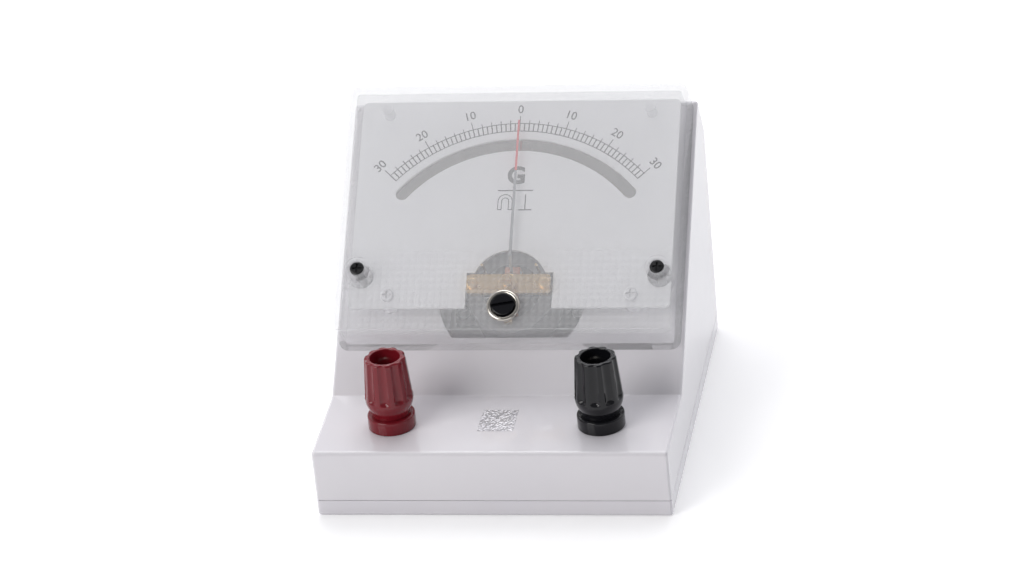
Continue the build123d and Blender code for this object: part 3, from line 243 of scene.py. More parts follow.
def moulded_group() -> bpy.types.NodeTree:
    """Injection-moulded skin: soft flow marks, fine ripple and faint handling smears.

    Returns:
        The shader group.
    """
    tree, sheet, given = surface_group(
        "moulded_skin",
        [
            ("Place", "NodeSocketVector", None),
            ("Base", "NodeSocketColor", (0.8, 0.8, 0.8, 1.0)),
            ("Deep", "NodeSocketColor", (0.7, 0.7, 0.7, 1.0)),
            ("Gloss", "NodeSocketFloat", 0.2),
            ("Smear", "NodeSocketFloat", 0.05),
        ],
    )
    ripple_share, speck_share = 0.7, 0.3
    flow = sheet.noise(given["Place"], scale=28.0, detail=3.0)
    speck = sheet.noise(given["Place"], scale=900.0, detail=1.0)
    ripple = sheet.noise(given["Place"], scale=260.0, detail=2.0)
    hand = sheet.noise(given["Place"], scale=75.0, detail=4.0)
    tone = sheet.spread(flow, low=0.35, high=0.7, to_high=0.55)
    colour = sheet.blend(tone, given["Base"], given["Deep"])
    worn = sheet.math("MULTIPLY", sheet.spread(hand, low=0.45, high=0.75), given["Smear"])
    rough = sheet.math("ADD", given["Gloss"], worn)
    waves = sheet.math("MULTIPLY", ripple, ripple_share)
    height = sheet.math("ADD", waves, sheet.math("MULTIPLY", speck, speck_share))
    close_group(sheet, colour, rough, height)
    return tree


def machined_group() -> bpy.types.NodeTree:
    """Turned or stamped metal: fine tool lines, dull patches and small pits.

    Returns:
        The shader group.
    """
    tree, sheet, given = surface_group(
        "machined_metal",
        [
            ("Place", "NodeSocketVector", None),
            ("Base", "NodeSocketColor", (0.7, 0.7, 0.7, 1.0)),
            ("Dull", "NodeSocketColor", (0.5, 0.5, 0.5, 1.0)),
            ("Gloss", "NodeSocketFloat", 0.25),
            ("Smear", "NodeSocketFloat", 0.15),
        ],
    )
    stretch = sheet.add("ShaderNodeMapping")
    sheet.feed(stretch.inputs["Vector"], given["Place"])
    stretch.inputs["Scale"].default_value = (0.12, 0.12, 6.0)
    line_share, pit_share = 0.75, 0.25
    lines = sheet.noise(stretch.outputs[0], scale=900.0, detail=3.0)
    patch = sheet.noise(given["Place"], scale=220.0, detail=3.0)
    pits = sheet.noise(given["Place"], scale=2600.0, detail=1.0)
    dull = sheet.spread(patch, low=0.45, high=0.72, to_high=0.8)
    colour = sheet.blend(dull, given["Base"], given["Dull"])
    rough = sheet.math("ADD", given["Gloss"], sheet.math("MULTIPLY", dull, given["Smear"]))
    cuts = sheet.math("MULTIPLY", lines, line_share)
    height = sheet.math("ADD", cuts, sheet.math("MULTIPLY", pits, pit_share))
    close_group(sheet, colour, rough, height)
    return tree


@dataclass(frozen=True)
class Finish:
    """A surface finish; a subclass says how its colour, roughness and bump are made."""

    name: str
    colour: Colour
    second: Colour
    gloss: float = 0.25
    smear: float = 0.08
    metallic: float = 0.0
    bump: float = 0.05
    depth: float = 0.00002

    def material(self) -> bpy.types.Material:
        """Make the material once, and hand back the same one after that.

        Returns:
            The material.
        """
        known = bpy.data.materials.get(self.name)
        if known is not None:
            return known
        made = bpy.data.materials.new(self.name)
        sheet = Surface(made)
        sheet.shader.inputs["Metallic"].default_value = self.metallic
        self.dress(sheet)
        sheet.feed(sheet.end.inputs["Surface"], self.close(sheet))
        return made

    def skin(self, sheet: Surface, group: str) -> bpy.types.Node:
        """Join one of the shared groups to the shader.

        Args:
            sheet: the material's nodes.
            group: name of the shared group.

        Returns:
            The group's node.
        """
        skin = sheet.add("ShaderNodeGroup", node_tree=bpy.data.node_groups[group])
        second = "Deep" if group == "moulded_skin" else "Dull"
        for label, value in (("Place", sheet.where), ("Base", self.colour), (second, self.second),
                             ("Gloss", self.gloss), ("Smear", self.smear)):
            sheet.feed(skin.inputs[label], value)
        sheet.feed(sheet.shader.inputs["Base Color"], skin.outputs["Colour"])
        sheet.feed(sheet.shader.inputs["Roughness"], skin.outputs["Roughness"])
        self.raise_bump(sheet, skin.outputs["Height"])
        return skin

    def raise_bump(self, sheet: Surface, height: object) -> None:
        """Turn a height into the shader's normal.

        Args:
            sheet: the material's nodes.
            height: the height output.
        """
        bump = sheet.add("ShaderNodeBump")
        bump.inputs["Strength"].default_value = self.bump
        bump.inputs["Distance"].default_value = self.depth
        sheet.feed(bump.inputs["Height"], height)
        sheet.feed(sheet.shader.inputs["Normal"], bump.outputs[0])

    def dress(self, sheet: Surface) -> None:
        """Fill the shader's inputs; the plain case is a moulded skin."""
        self.skin(sheet, "moulded_skin")

    def close(self, sheet: Surface) -> bpy.types.NodeSocket:
        """Give the surface output; glass adds a clear path for lamps here."""
        return sheet.shader.outputs[0]


@dataclass(frozen=True)
class Plastic(Finish):
    """Glossy moulded plastic with a thin polished skin."""

    coat: float = 0.25
    coat_roughness: float = 0.05
    specular: float = 0.5
    ior: float = 1.52

    def dress(self, sheet: Surface) -> None:
        """Moulded skin under a light coat.

        Args:
            sheet: the material's nodes.
        """
        self.skin(sheet, "moulded_skin")
        sheet.shader.inputs["Coat Weight"].default_value = self.coat
        sheet.shader.inputs["Coat Roughness"].default_value = self.coat_roughness
        sheet.shader.inputs["IOR"].default_value = self.ior
        sheet.shader.inputs["Specular IOR Level"].default_value = self.specular


@dataclass(frozen=True)
class Metal(Finish):
    """Turned, stamped or plated metal."""

    metallic: float = 1.0

    def dress(self, sheet: Surface) -> None:
        """Machined skin."""
        self.skin(sheet, "machined_metal")


@dataclass(frozen=True)
class ClearPlastic(Finish):
    """Clear moulded cover: glass that lets the lamps through to the dial."""

    ior: float = 1.49

    def dress(self, sheet: Surface) -> None:
        """Clear body with faint moulding ripple and handling smears.

        Args:
            sheet: the material's nodes.
        """
        self.skin(sheet, "moulded_skin")
        sheet.shader.inputs["Transmission Weight"].default_value = 1.0
        sheet.shader.inputs["IOR"].default_value = self.ior

    def close(self, sheet: Surface) -> bpy.types.NodeSocket:
        """Let rays from lamps pass straight through.

        Args:
            sheet: the material's nodes.

        Returns:
            The surface output.
        """
        path = sheet.add("ShaderNodeLightPath")
        clear = sheet.add("ShaderNodeBsdfTransparent")
        clear.inputs["Color"].default_value = (*self.second, 1.0)
        mixed = sheet.add("ShaderNodeMixShader")
        sources = (path.outputs["Is Shadow Ray"], sheet.shader.outputs[0], clear.outputs[0])
        for socket, source in zip(mixed.inputs, sources):
            sheet.feed(socket, source)
        return mixed.outputs[0]


@dataclass(frozen=True)
class Foil(Finish):
    """Creased metal foil."""

    metallic: float = 0.6
    cells: float = 420.0
    crease_width: float = 0.25

    def dress(self, sheet: Surface) -> None:
        """Creases from a cell pattern over a machined skin.

        Args:
            sheet: the material's nodes.
        """
        skin = self.skin(sheet, "machined_metal")
        cells = sheet.add("ShaderNodeTexVoronoi", feature="DISTANCE_TO_EDGE")
        sheet.feed(cells.inputs["Vector"], sheet.where)
        cells.inputs["Scale"].default_value = self.cells
        crease = sheet.spread(cells.outputs["Distance"], low=0.0, high=self.crease_width)
        self.raise_bump(sheet, sheet.math("ADD", crease, skin.outputs["Height"]))


@dataclass(frozen=True)
class WoundWire(Finish):
    """Enamelled wire laid side by side across the former."""

    wire: float = 0.11 * MM
    bands_per_scale: float = 20.0

    def dress(self, sheet: Surface) -> None:
        """Round wires as a wave across X, with painted shade in the hollows between them.

        Args:
            sheet: the material's nodes.
        """
        skin = self.skin(sheet, "machined_metal")
        wave = sheet.add("ShaderNodeTexWave", wave_type="BANDS", bands_direction="X")
        sheet.feed(wave.inputs["Vector"], sheet.where)
        wave.inputs["Scale"].default_value = 1.0 / (self.wire * self.bands_per_scale)
        # Painted shade: where the wave is low, between the wires, the colour falls to the skin's duller tone.
        tone = sheet.blend(wave.outputs["Fac"], skin.outputs["Colour"], self.colour)
        sheet.feed(sheet.shader.inputs["Base Color"], tone)
        self.raise_bump(sheet, wave.outputs["Fac"])


@dataclass(frozen=True)
class PaintedNeedle(Finish):
    """Bare grey strip with its outer end painted red, by distance from the pivot."""

    paint: Colour = (0.75, 0.02, 0.03)
    start: float = 37.0 * MM
    ragged: float = 0.4 * MM
    ragged_scale: float = 2500.0
    pivot: Place = (0.0, 0.0, 0.0)

    def dress(self, sheet: Surface) -> None:
        """Paint the strip beyond the start radius.

        Args:
            sheet: the material's nodes.
        """
        skin = self.skin(sheet, "machined_metal")
        away = sheet.add("ShaderNodeVectorMath", operation="DISTANCE")
        sheet.feed(away.inputs[0], sheet.where)
        away.inputs[1].default_value = self.pivot
        uneven = sheet.math("MULTIPLY", sheet.noise(sheet.where, self.ragged_scale), self.ragged)
        reach = sheet.math("ADD", away.outputs["Value"], uneven)
        painted = sheet.math("GREATER_THAN", reach, self.start)
        sheet.feed(sheet.shader.inputs["Base Color"], sheet.blend(painted, skin.outputs["Colour"], self.paint))
        bare = sheet.spread(painted, low=0.0, high=1.0, to_low=self.metallic, to_high=0.0)
        sheet.feed(sheet.shader.inputs["Metallic"], bare)


class Finishes:
    """Every finish of the instrument, made from its plain names."""

    def __init__(self, pivot: Vector) -> None:
        """Make the shared groups and the finishes.

        Args:
            pivot: the pointer's pivot, in the row frame.
        """
        moulded_group()
        machined_group()
        self.white = Plastic(
            "white_plastic", (0.82, 0.80, 0.83), (0.78, 0.76, 0.80), gloss=0.07, smear=0.05, bump=0.04)
        self.base = Plastic("base_plastic", (0.80, 0.78, 0.82), (0.75, 0.73, 0.78), gloss=0.1, bump=0.06)
        self.cover = ClearPlastic(
            "clear_cover", (0.965, 0.965, 0.975), (0.975, 0.975, 0.98), gloss=0.0, smear=0.012, bump=0.02)
        self.black = Plastic(
            "black_plastic", (0.006, 0.006, 0.008), (0.012, 0.012, 0.014),
            gloss=0.1, bump=0.1, specular=0.3, coat=0.05)
        self.red = Plastic(
            "crimson_plastic", (0.20, 0.010, 0.018), (0.16, 0.007, 0.013),
            gloss=0.1, bump=0.1, specular=0.35, coat=0.08)
        self.frame = Plastic(
            "frame_plastic", (0.02, 0.02, 0.022), (0.03, 0.03, 0.03), gloss=0.45, coat=0.0, bump=0.2)
        self.nickel = Metal("nickel_plate", (0.66, 0.62, 0.56), (0.52, 0.49, 0.45), gloss=0.18, bump=0.12)
        self.brass = Metal("stamped_brass", (0.78, 0.53, 0.22), (0.56, 0.36, 0.15), gloss=0.25, bump=0.15)
        self.zinc = Metal("zinc_plate", (0.62, 0.63, 0.64), (0.5, 0.5, 0.52), gloss=0.3, bump=0.12)
        self.tinned = Metal("tinned_brass", (0.66, 0.65, 0.61), (0.5, 0.49, 0.46), gloss=0.3, bump=0.12)
        self.black_steel = Metal(
            "blackened_steel", (0.02, 0.02, 0.022), (0.05, 0.05, 0.05), gloss=0.3, metallic=0.4)
        self.steel = Metal("spring_steel", (0.42, 0.42, 0.44), (0.3, 0.3, 0.32), gloss=0.22)
        self.iron = Metal("soft_iron", (0.06, 0.06, 0.065), (0.1, 0.09, 0.08), gloss=0.5, metallic=0.7)
        self.magnet = Metal("ground_magnet", (0.25, 0.25, 0.26), (0.17, 0.17, 0.18), gloss=0.35)
        self.aluminium = Metal("aluminium_strip", (0.72, 0.72, 0.74), (0.6, 0.6, 0.62), gloss=0.3)
        self.bronze = Metal("bronze_strip", (0.62, 0.36, 0.16), (0.45, 0.26, 0.12), gloss=0.25)
        self.mirror = Metal(
            "mirror_strip", (0.42, 0.40, 0.38), (0.36, 0.34, 0.325), gloss=0.12, smear=0.1, bump=0.03)
        self.dial = Finish("dial_enamel", (0.82, 0.815, 0.835), (0.79, 0.785, 0.81), gloss=0.42, bump=0.08)
        self.lacquer = Finish("white_lacquer", (0.78, 0.77, 0.79), (0.68, 0.67, 0.7), gloss=0.3, bump=0.1)
        self.ink = Finish("dial_ink", (0.016, 0.015, 0.018), (0.03, 0.03, 0.033), gloss=0.5, bump=0.1)
        self.sapphire = Plastic("cup_jewel", (0.5, 0.05, 0.12), (0.4, 0.03, 0.09), gloss=0.05)
        self.wire = WoundWire(
            "enamelled_wire", (0.42, 0.12, 0.04), (0.3, 0.08, 0.03), gloss=0.25, metallic=0.6, bump=0.5)
        self.foil = Foil("plain_foil", (0.56, 0.55, 0.57), (0.46, 0.45, 0.48), gloss=0.34, bump=0.35)
        self.needle = PaintedNeedle(
            "needle", (0.30, 0.31, 0.33), (0.24, 0.24, 0.26), gloss=0.4, metallic=0.5, pivot=tuple(pivot))
        self.red_wire = Plastic(
            "red_insulation", (0.4, 0.015, 0.02), (0.33, 0.01, 0.015), gloss=0.45, coat=0.0)
        self.black_wire = Plastic(
            "black_insulation", (0.02, 0.02, 0.02), (0.03, 0.03, 0.03), gloss=0.45, coat=0.0)


def dress(node: str, finish: Finish) -> None:
    """Give a CAD node its finish.

    Args:
        node: the node's name.
        finish: what it is made of.
    """
    obj = frame["nodes"][node]
    obj.data.materials.clear()
    obj.data.materials.append(finish.material())
    LOG.info("dressed %s with %s", node, finish.name)


def settle(obj: bpy.types.Object, name: str, finish: Finish, body: str, slot: str, *replaced: str) -> None:
    """Name and dress a new piece, and let it ride on its body.

    Args:
        obj: the piece, with its place in its mesh.
        name: its name.
        finish: what it is made of.
        body: the body that it moves with.
        slot: the record's material slot; not used.
        replaced: CAD nodes that it stands for.
    """
    obj.name = name
    obj.data.materials.clear()
    obj.data.materials.append(finish.material())
    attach(obj, body)
    if replaced:
        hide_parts(*replaced)
    LOG.info("built %s: %d faces", name, len(obj.data.polygons))


def clear_selection() -> None:
    """Leave edit mode and select nothing."""
    if bpy.context.object is not None and bpy.context.object.mode != "OBJECT":
        bpy.ops.object.mode_set(mode="OBJECT")
    bpy.ops.object.select_all(action="DESELECT")


def only(obj: bpy.types.Object) -> None:
    """Select one object and make it active.

    Args:
        obj: the object.
    """
    clear_selection()
    obj.select_set(True)
    bpy.context.view_layer.objects.active = obj


def pick(test: Callable[[Vector], bool]) -> None:
    """Select the active mesh's vertices by their place, in edit mode.

    Args:
        test: says of a place whether it is wanted.
    """
    bpy.ops.mesh.select_mode(type="VERT")
    mesh = bpy.context.object.data
    shape = bmesh.from_edit_mesh(mesh)
    for vertex in shape.verts:
        vertex.select = test(vertex.co)
    shape.select_flush(True)
    bmesh.update_edit_mesh(mesh)


def place(obj: bpy.types.Object, where: Matrix) -> None:
    """Put a piece in its place and keep that in its mesh.

    Args:
        obj: the piece, modelled at the origin.
        where: its place.
    """
    only(obj)
    obj.matrix_world = where
    bpy.ops.object.transform_apply(location=True, rotation=True, scale=True)


def joined(pieces: Sequence[bpy.types.Object]) -> bpy.types.Object:
    """Join like pieces into one object.

    Args:
        pieces: the objects.

    Returns:
        The joined object.
    """
    only(pieces[0])
    for piece in pieces:
        piece.select_set(True)
    bpy.ops.object.join()
    return bpy.context.object


@dataclass(frozen=True)
class Ring:
    """One ring of a turned piece."""

    height: float
    radius: float


def rounded(
    height: float, radius: float, size: float, start: float, end: float, steps: int = 4
) -> list[Ring]:
    """Rings along a round edge.

    Args:
        height: height of the rounding's centre.
        radius: radius of the rounding's centre from the axis.
        size: the rounding's own radius.
        start: first angle in degrees, 0 outwards and 90 up.
        end: last angle in degrees.
        steps: how many arcs.

    Returns:
        The rings.
    """
    turns = [math.radians(start + (end - start) * step / steps) for step in range(steps + 1)]
    return [Ring(height + size * math.sin(turn), radius + size * math.cos(turn)) for turn in turns]


def turned(profile: Sequence[Ring], steps: int = 96) -> bpy.types.Object:
    """Round piece about Z: a circle drawn out ring by ring along a closed profile.

    Args:
        profile: the rings, in order round the section.
        steps: sides of each ring.

    Returns:
        The piece.
    """
    clear_selection()
    first = profile[0]
    bpy.ops.mesh.primitive_circle_add(vertices=steps, radius=first.radius, fill_type="NOTHING")
    obj = bpy.context.object
    place(obj, Matrix.Translation((0.0, 0.0, first.height)))
    bpy.ops.object.mode_set(mode="EDIT")
    bpy.ops.mesh.select_all(action="SELECT")
    before = first
    for ring in [*profile[1:], first]:
        bpy.ops.mesh.extrude_region_move()
        bpy.ops.transform.translate(value=(0.0, 0.0, ring.height - before.height))
        change = ring.radius / before.radius
        bpy.ops.transform.resize(value=(change, change, 1.0), center_override=(0.0, 0.0, 0.0))
        before = ring
    bpy.ops.mesh.select_all(action="SELECT")
    bpy.ops.mesh.remove_doubles(threshold=NEAR)
    bpy.ops.mesh.normals_make_consistent(inside=False)
    bpy.ops.object.mode_set(mode="OBJECT")
    return obj


def smooth(obj: bpy.types.Object, degrees: float = 30.0) -> None:
    """Shade a piece smooth, with its sharp edges kept.

    Args:
        obj: the piece.
        degrees: sharpest angle that is still smoothed.
    """
    only(obj)
    bpy.ops.object.shade_smooth_by_angle(angle=math.radians(degrees))


@dataclass
class Panel:
    """The sloping panel's own directions, from the pointer's joint."""

    pivot: Vector = field(init=False)
    normal: Vector = field(init=False)

    def __post_init__(self) -> None:
        """Read the pivot axis from the frame."""
        joint = next(j for j in frame["joints"] if j["name"] == "pointer_swing")
        self.pivot = Vector(joint["pos_m"])
        self.normal = Vector(joint["axis"]).normalized()

    def matrix(self) -> Matrix:
        """Place on the pivot axis, with +Y up the slope and +Z outwards.

        Returns:
            The place.
        """
        across = Vector((1.0, 0.0, 0.0))
        axes = Matrix((across, self.normal.cross(across), self.normal)).transposed().to_4x4()
        return Matrix.Translation(self.pivot) @ axes

    def heights_of(self, node: str) -> list[float]:
        """Heights of a node's vertices above the panel's face.

        Args:
            node: the node's name.

        Returns:
            The heights.
        """
        return [(v.co - self.pivot).dot(self.normal) for v in frame["nodes"][node].data.vertices]

    def top_of(self, node: str) -> float:
        """How far a node reaches outwards from the panel's face.

        Args:
            node: the node's name.

        Returns:
            The distance.
        """
        return max(self.heights_of(node))

    def middle_of(self, node: str) -> Matrix:
        """Place in the middle of a node, at the height of the panel's face.

        Args:
            node: the node's name.

        Returns:
            The place, with +Y up the slope and +Z outwards.
        """
        low, high = (Vector(corner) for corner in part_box(node))
        here = self.matrix().inverted() @ ((low + high) / 2)
        return self.matrix() @ Matrix.Translation((here.x, here.y, 0.0))


@dataclass
class Stand:
    """White moulded stand, its base, screws and foil label."""

    finishes: Finishes
    label_cells: int = 26
    label_lift: float = 0.07 * MM
    crease: float = 0.05 * MM
    crease_seed: int = 4
    foil_thickness: float = 0.03 * MM

    def build(self) -> None:
        """Dress the stand's nodes and lay the label."""
        dress("housing", self.finishes.white)
        dress("base_plate", self.finishes.base)
        dress("base_screws", self.finishes.zinc)
        self.label()

    def label(self) -> None:
        """Lay the creased foil label on the shelf."""
        low, high = (Vector(corner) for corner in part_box("foil_label"))
        clear_selection()
        cells = self.label_cells
        bpy.ops.mesh.primitive_grid_add(x_subdivisions=cells, y_subdivisions=cells, size=1.0)
        foil = bpy.context.object
        size = high - low
        middle = (low + high) / 2
        lifted = Matrix.Translation((middle.x, middle.y, low.z + self.label_lift))
        place(foil, lifted @ Matrix.Diagonal((size.x, size.y, 1.0, 1.0)))
        bpy.ops.object.mode_set(mode="EDIT")
        bpy.ops.mesh.select_all(action="SELECT")
        bpy.ops.transform.vertex_random(offset=self.crease, uniform=1.0, normal=1.0, seed=self.crease_seed)
        bpy.ops.object.mode_set(mode="OBJECT")
        wall = foil.modifiers.new("wall", "SOLIDIFY")
        wall.thickness = self.foil_thickness
        bpy.ops.object.modifier_apply(modifier=wall.name)
        settle(foil, "creased_label", self.finishes.foil, "stand", "foil", "foil_label")


@dataclass
class DialPrint:
    """Black print on the dial: the scale, its numbers, the letter and the two signs."""

    panel: Panel
    finishes: Finishes
    outer_radius: float = 51.75 * MM
    inner_radius: float = 49.3 * MM
    line: float = 0.26 * MM
    rung: float = 0.36 * MM
    tick_end: float = 52.9 * MM
    long_tick_end: float = 54.2 * MM
    last_mark: int = 30
    tick_step: int = 2
    number_step: int = 10
    half_angle: float = math.radians(46.9)
    number_radius: float = 56.2 * MM
    number_size: float = 3.6 * MM
    number_weight: float = 0.03 * MM
    letter_height: float = 66.8 * MM
    letter_size: float = 7.4 * MM
    letter_weight: float = 0.28 * MM
    underline_height: float = 62.2 * MM
    underline_length: float = 10.5 * MM
    sign_foot: float = 56.0 * MM
    sign_height: float = 4.9 * MM
    upright_aside: float = 3.1 * MM
    upright_sole: float = 3.9 * MM
    magnet_aside: float = -2.9 * MM
    magnet_outer: float = 2.1 * MM
    magnet_inner: float = 1.05 * MM
    magnet_stroke: float = 0.234 * MM
    thickness: float = 0.03 * MM
    pivot_height: float = 32.0 * MM
    arc_steps: int = 96

    def band(self, radius: float, width: float, angle: float) -> bpy.types.Object:
        """Curved line about the pivot, centred on the upward direction.

        Args:
            radius: its middle radius.
            width: its width.
            angle: half of the angle that it covers.

        Returns:
            The line.
        """
        clear_selection()
        bpy.ops.mesh.primitive_plane_add(size=width, location=(0.0, radius, 0.0))
        obj = bpy.context.object
        bpy.ops.object.transform_apply(location=True)
        bpy.ops.object.mode_set(mode="EDIT")
        pick(lambda co: co.x < 0)
        bpy.ops.mesh.delete(type="VERT")
        bpy.ops.mesh.select_all(action="SELECT")
        bpy.ops.transform.translate(value=(-width / 2, 0.0, 0.0))
        bpy.ops.transform.rotate(value=angle, orient_axis="Z", center_override=(0.0, 0.0, 0.0))
        bpy.ops.mesh.select_all(action="SELECT")
        middle, down = (0.0, 0.0, 0.0), (0.0, 0.0, -1.0)
        bpy.ops.mesh.spin(steps=self.arc_steps, angle=2 * angle, center=middle, axis=down)
        bpy.ops.object.mode_set(mode="OBJECT")
        return obj

    def bar(
        self, width: float, low: float, high: float, x: float = 0.0, turn: float = 0.0
    ) -> bpy.types.Object:
        """Straight line between two heights, turned about the pivot.

        Args:
            width: its width.
            low: distance of its lower end from the pivot.
            high: distance of its upper end.
            x: sideways shift before the turn.
            turn: angle to the left.

        Returns:
            The line.
        """
        clear_selection()
        bpy.ops.mesh.primitive_plane_add(size=1.0)
        obj = bpy.context.object
        middle = Matrix.Translation((x, (low + high) / 2, 0.0))
        shape = middle @ Matrix.Diagonal((width, high - low, 1.0, 1.0))
        place(obj, Matrix.Rotation(turn, 4, "Z") @ shape)
        return obj

    def words(
        self, text: str, size: float, radius: float, heavy: float, turn: float = 0.0
    ) -> bpy.types.Object:
        """Text centred on a radius, turned about the pivot.

        Args:
            text: what it says.
            size: its size.
            radius: distance of its middle from the pivot.
            heavy: how much its strokes are thickened.
            turn: angle to the left.

        Returns:
            The text as a mesh.
        """
        clear_selection()
        bpy.ops.object.text_add()
        obj = bpy.context.object
        obj.data.body = text
        obj.data.size = size
        obj.data.align_x = "CENTER"
        obj.data.align_y = "CENTER"
        obj.data.offset = heavy
        bpy.ops.object.convert(target="MESH")
        obj = bpy.context.object
        place(obj, Matrix.Rotation(turn, 4, "Z") @ Matrix.Translation((0.0, radius, 0.0)))
        return obj

    def scale_marks(self) -> list[bpy.types.Object]:
        """Two arcs with a rung at every mark, and the longer marks outside them.

        Returns:
            The marks.
        """
        rim = self.half_angle + self.rung / 2 / self.outer_radius
        marks = [self.band(self.outer_radius, self.line, rim), self.band(self.inner_radius, self.line, rim)]
        for mark in range(-self.last_mark, self.last_mark + 1):
            end = self.outer_radius
            if mark % self.number_step == 0:
                end = self.long_tick_end
            elif mark % self.tick_step == 0:
                end = self.tick_end
            turn = -self.half_angle * mark / self.last_mark
            marks.append(self.bar(self.rung, self.inner_radius, self.outer_radius, turn=turn))
            if end > self.outer_radius:
                marks.append(self.bar(self.line, self.outer_radius, end, turn=turn))
        return marks

    def numbers(self) -> list[bpy.types.Object]:
        """Numbers at every longer mark.

        Returns:
            The numbers.
        """
        numbers = []
        for mark in range(-self.last_mark, self.last_mark + 1, self.number_step):
            turn = -self.half_angle * mark / self.last_mark
            name = str(abs(mark))
            numbers.append(self.words(name, self.number_size, self.number_radius, self.number_weight, turn))
        return numbers

    def signs(self) -> list[bpy.types.Object]:
        """The letter, the line under it, the magnet sign and the upright sign.

        Returns:
            The signs.
        """
        height = self.letter_height - self.pivot_height
        letter = self.words("G", self.letter_size, height, self.letter_weight)
        middle = self.underline_height - self.pivot_height
        underline = self.bar(self.underline_length, middle - self.rung / 2, middle + self.rung / 2)
        foot = self.sign_foot - self.pivot_height
        stem = self.bar(self.rung, foot, foot + self.sign_height, self.upright_aside)
        sole = self.bar(self.upright_sole, foot - self.rung / 2, foot + self.rung / 2, self.upright_aside)
        return [letter, underline, stem, sole, *self.magnet_sign(foot)]

    def magnet_sign(self, foot: float) -> list[bpy.types.Object]:
        """Outline of a horseshoe magnet: two arches on straight legs, with feet.

        Args:
            foot: height of its feet above the pivot.

        Returns:
            The strokes.
        """
        middle, outer, inner = self.magnet_aside, self.magnet_outer, self.magnet_inner
        strokes = []
        top = foot + self.sign_height - outer
        for radius in (outer, inner):
            arch = self.band(radius, self.magnet_stroke, math.pi / 2)
            place(arch, Matrix.Translation((middle, top, 0.0)))
            strokes.append(arch)
            for side in (-1, 1):
                strokes.append(self.bar(self.magnet_stroke, foot, top, middle + side * radius))
        for side in (-1, 1):
            aside = middle + side * (outer + inner) / 2
            strokes.append(self.bar(outer - inner + self.line, foot, foot + self.line, aside))
        return strokes

    def build(self) -> None:
        """Join the print, turn its faces one way and lay it just above the dial's face."""
        printed = joined([*self.scale_marks(), *self.numbers(), *self.signs()])
        only(printed)
        bpy.ops.object.mode_set(mode="EDIT")
        bpy.ops.mesh.select_all(action="SELECT")
        bpy.ops.mesh.normals_make_consistent(inside=False)
        bpy.ops.object.mode_set(mode="OBJECT")
        lift = Matrix.Translation((0.0, 0.0, self.panel.top_of("dial_plate") + self.thickness))
        place(printed, self.panel.matrix() @ lift)
        settle(printed, "dial_print", self.finishes.ink, "stand", "white_dial")


@dataclass
class Meter:
    """The clear cover and everything under it."""

    panel: Panel
    finishes: Finishes
    ring_radius: float = 4.85 * MM
    ring_mouth: float = 3.5 * MM
    ring_lip: float = 0.55 * MM
    sleeve_radius: float = 4.03 * MM
    stem_hole: float = 2.04 * MM
    web: float = 1.2 * MM
    flange: float = 0.5 * MM
    crown_steps: int = 12
    ring_crease: float = 40.0
    cover_crease: float = 20.0
    cover_merge: float = 0.002 * MM

    def cover_shell(self) -> None:
        """Copy the cover and merge its facets, so that each prism's faces stay flat."""
        only(frame["nodes"]["meter_cover"])
        bpy.ops.object.duplicate()
        shell = bpy.context.object
        shell.parent = None
        shell.matrix_world = Matrix.Identity(4)
        bpy.ops.object.mode_set(mode="EDIT")
        bpy.ops.mesh.select_all(action="SELECT")
        bpy.ops.mesh.customdata_custom_splitnormals_clear()
        bpy.ops.mesh.remove_doubles(threshold=self.cover_merge)
        bpy.ops.object.mode_set(mode="OBJECT")
        smooth(shell, self.cover_crease)
        settle(shell, "cover_shell", self.finishes.cover, "stand", "clear_cover", "meter_cover")

    def rolled_ring(self) -> None:
        """Nickel ring round the adjuster, with a rolled lip."""
        where = self.panel.middle_of("adjuster_ferrule")
        face = self.panel.top_of("adjuster_ferrule") - self.flange
        foot = min(self.panel.heights_of("adjuster_ferrule"))
        middle = (self.ring_radius + self.ring_mouth) / 2
        half = (self.ring_radius - self.ring_mouth) / 2
        crown = []
        for step in range(self.crown_steps + 1):
            turn = math.pi * step / self.crown_steps
            crown.append(Ring(face + self.ring_lip * math.sin(turn), middle + half * math.cos(turn)))
        ring = turned([
            Ring(foot, self.sleeve_radius),
            Ring(face, self.sleeve_radius),
            *crown,
            Ring(foot + self.web, self.ring_mouth),
            Ring(foot + self.web, self.stem_hole),
            Ring(foot, self.stem_hole),
        ])
        smooth(ring, self.ring_crease)
        place(ring, where)
        settle(ring, "rolled_ring", self.finishes.nickel, "stand", "nickel", "adjuster_ferrule")

    def build(self) -> None:
        """Dress the meter's nodes and add the cover, the ring and the print."""
        kit = self.finishes
        self.cover_shell()
        self.rolled_ring()
        DialPrint(self.panel, kit).build()
        brass_nodes = (
            "stop_pins", "front_bridge", "bridge_screws", "bridge_nuts", "front_terminal_tag",
            "front_jewel_screw", "rear_jewel_screw", "lock_nuts", "balance_weights", "zero_lever",
            "rear_spring_arm",
        )
        finish_of = {
            "cover_screws": kit.black_steel,
            "zero_adjuster": kit.black,
            "adjuster_clip": kit.steel,
            "dial_plate": kit.dial,
            "mirror_strip": kit.mirror,
            "dial_screws": kit.lacquer,
            **dict.fromkeys(brass_nodes, kit.brass),
            "movement_frame": kit.frame,
            "movement_screws": kit.zinc,
            "yoke_ring": kit.iron,
            "core_magnet": kit.magnet,
            "pivot_jewels": kit.sapphire,
            "coil_former": kit.aluminium,
            "coil_winding": kit.wire,
            "front_pivot": kit.steel,
            "rear_pivot": kit.steel,
            "pointer": kit.needle,
            "front_hairspring": kit.bronze,
            "rear_hairspring": kit.bronze,
        }
        for node, finish in finish_of.items():
            dress(node, finish)


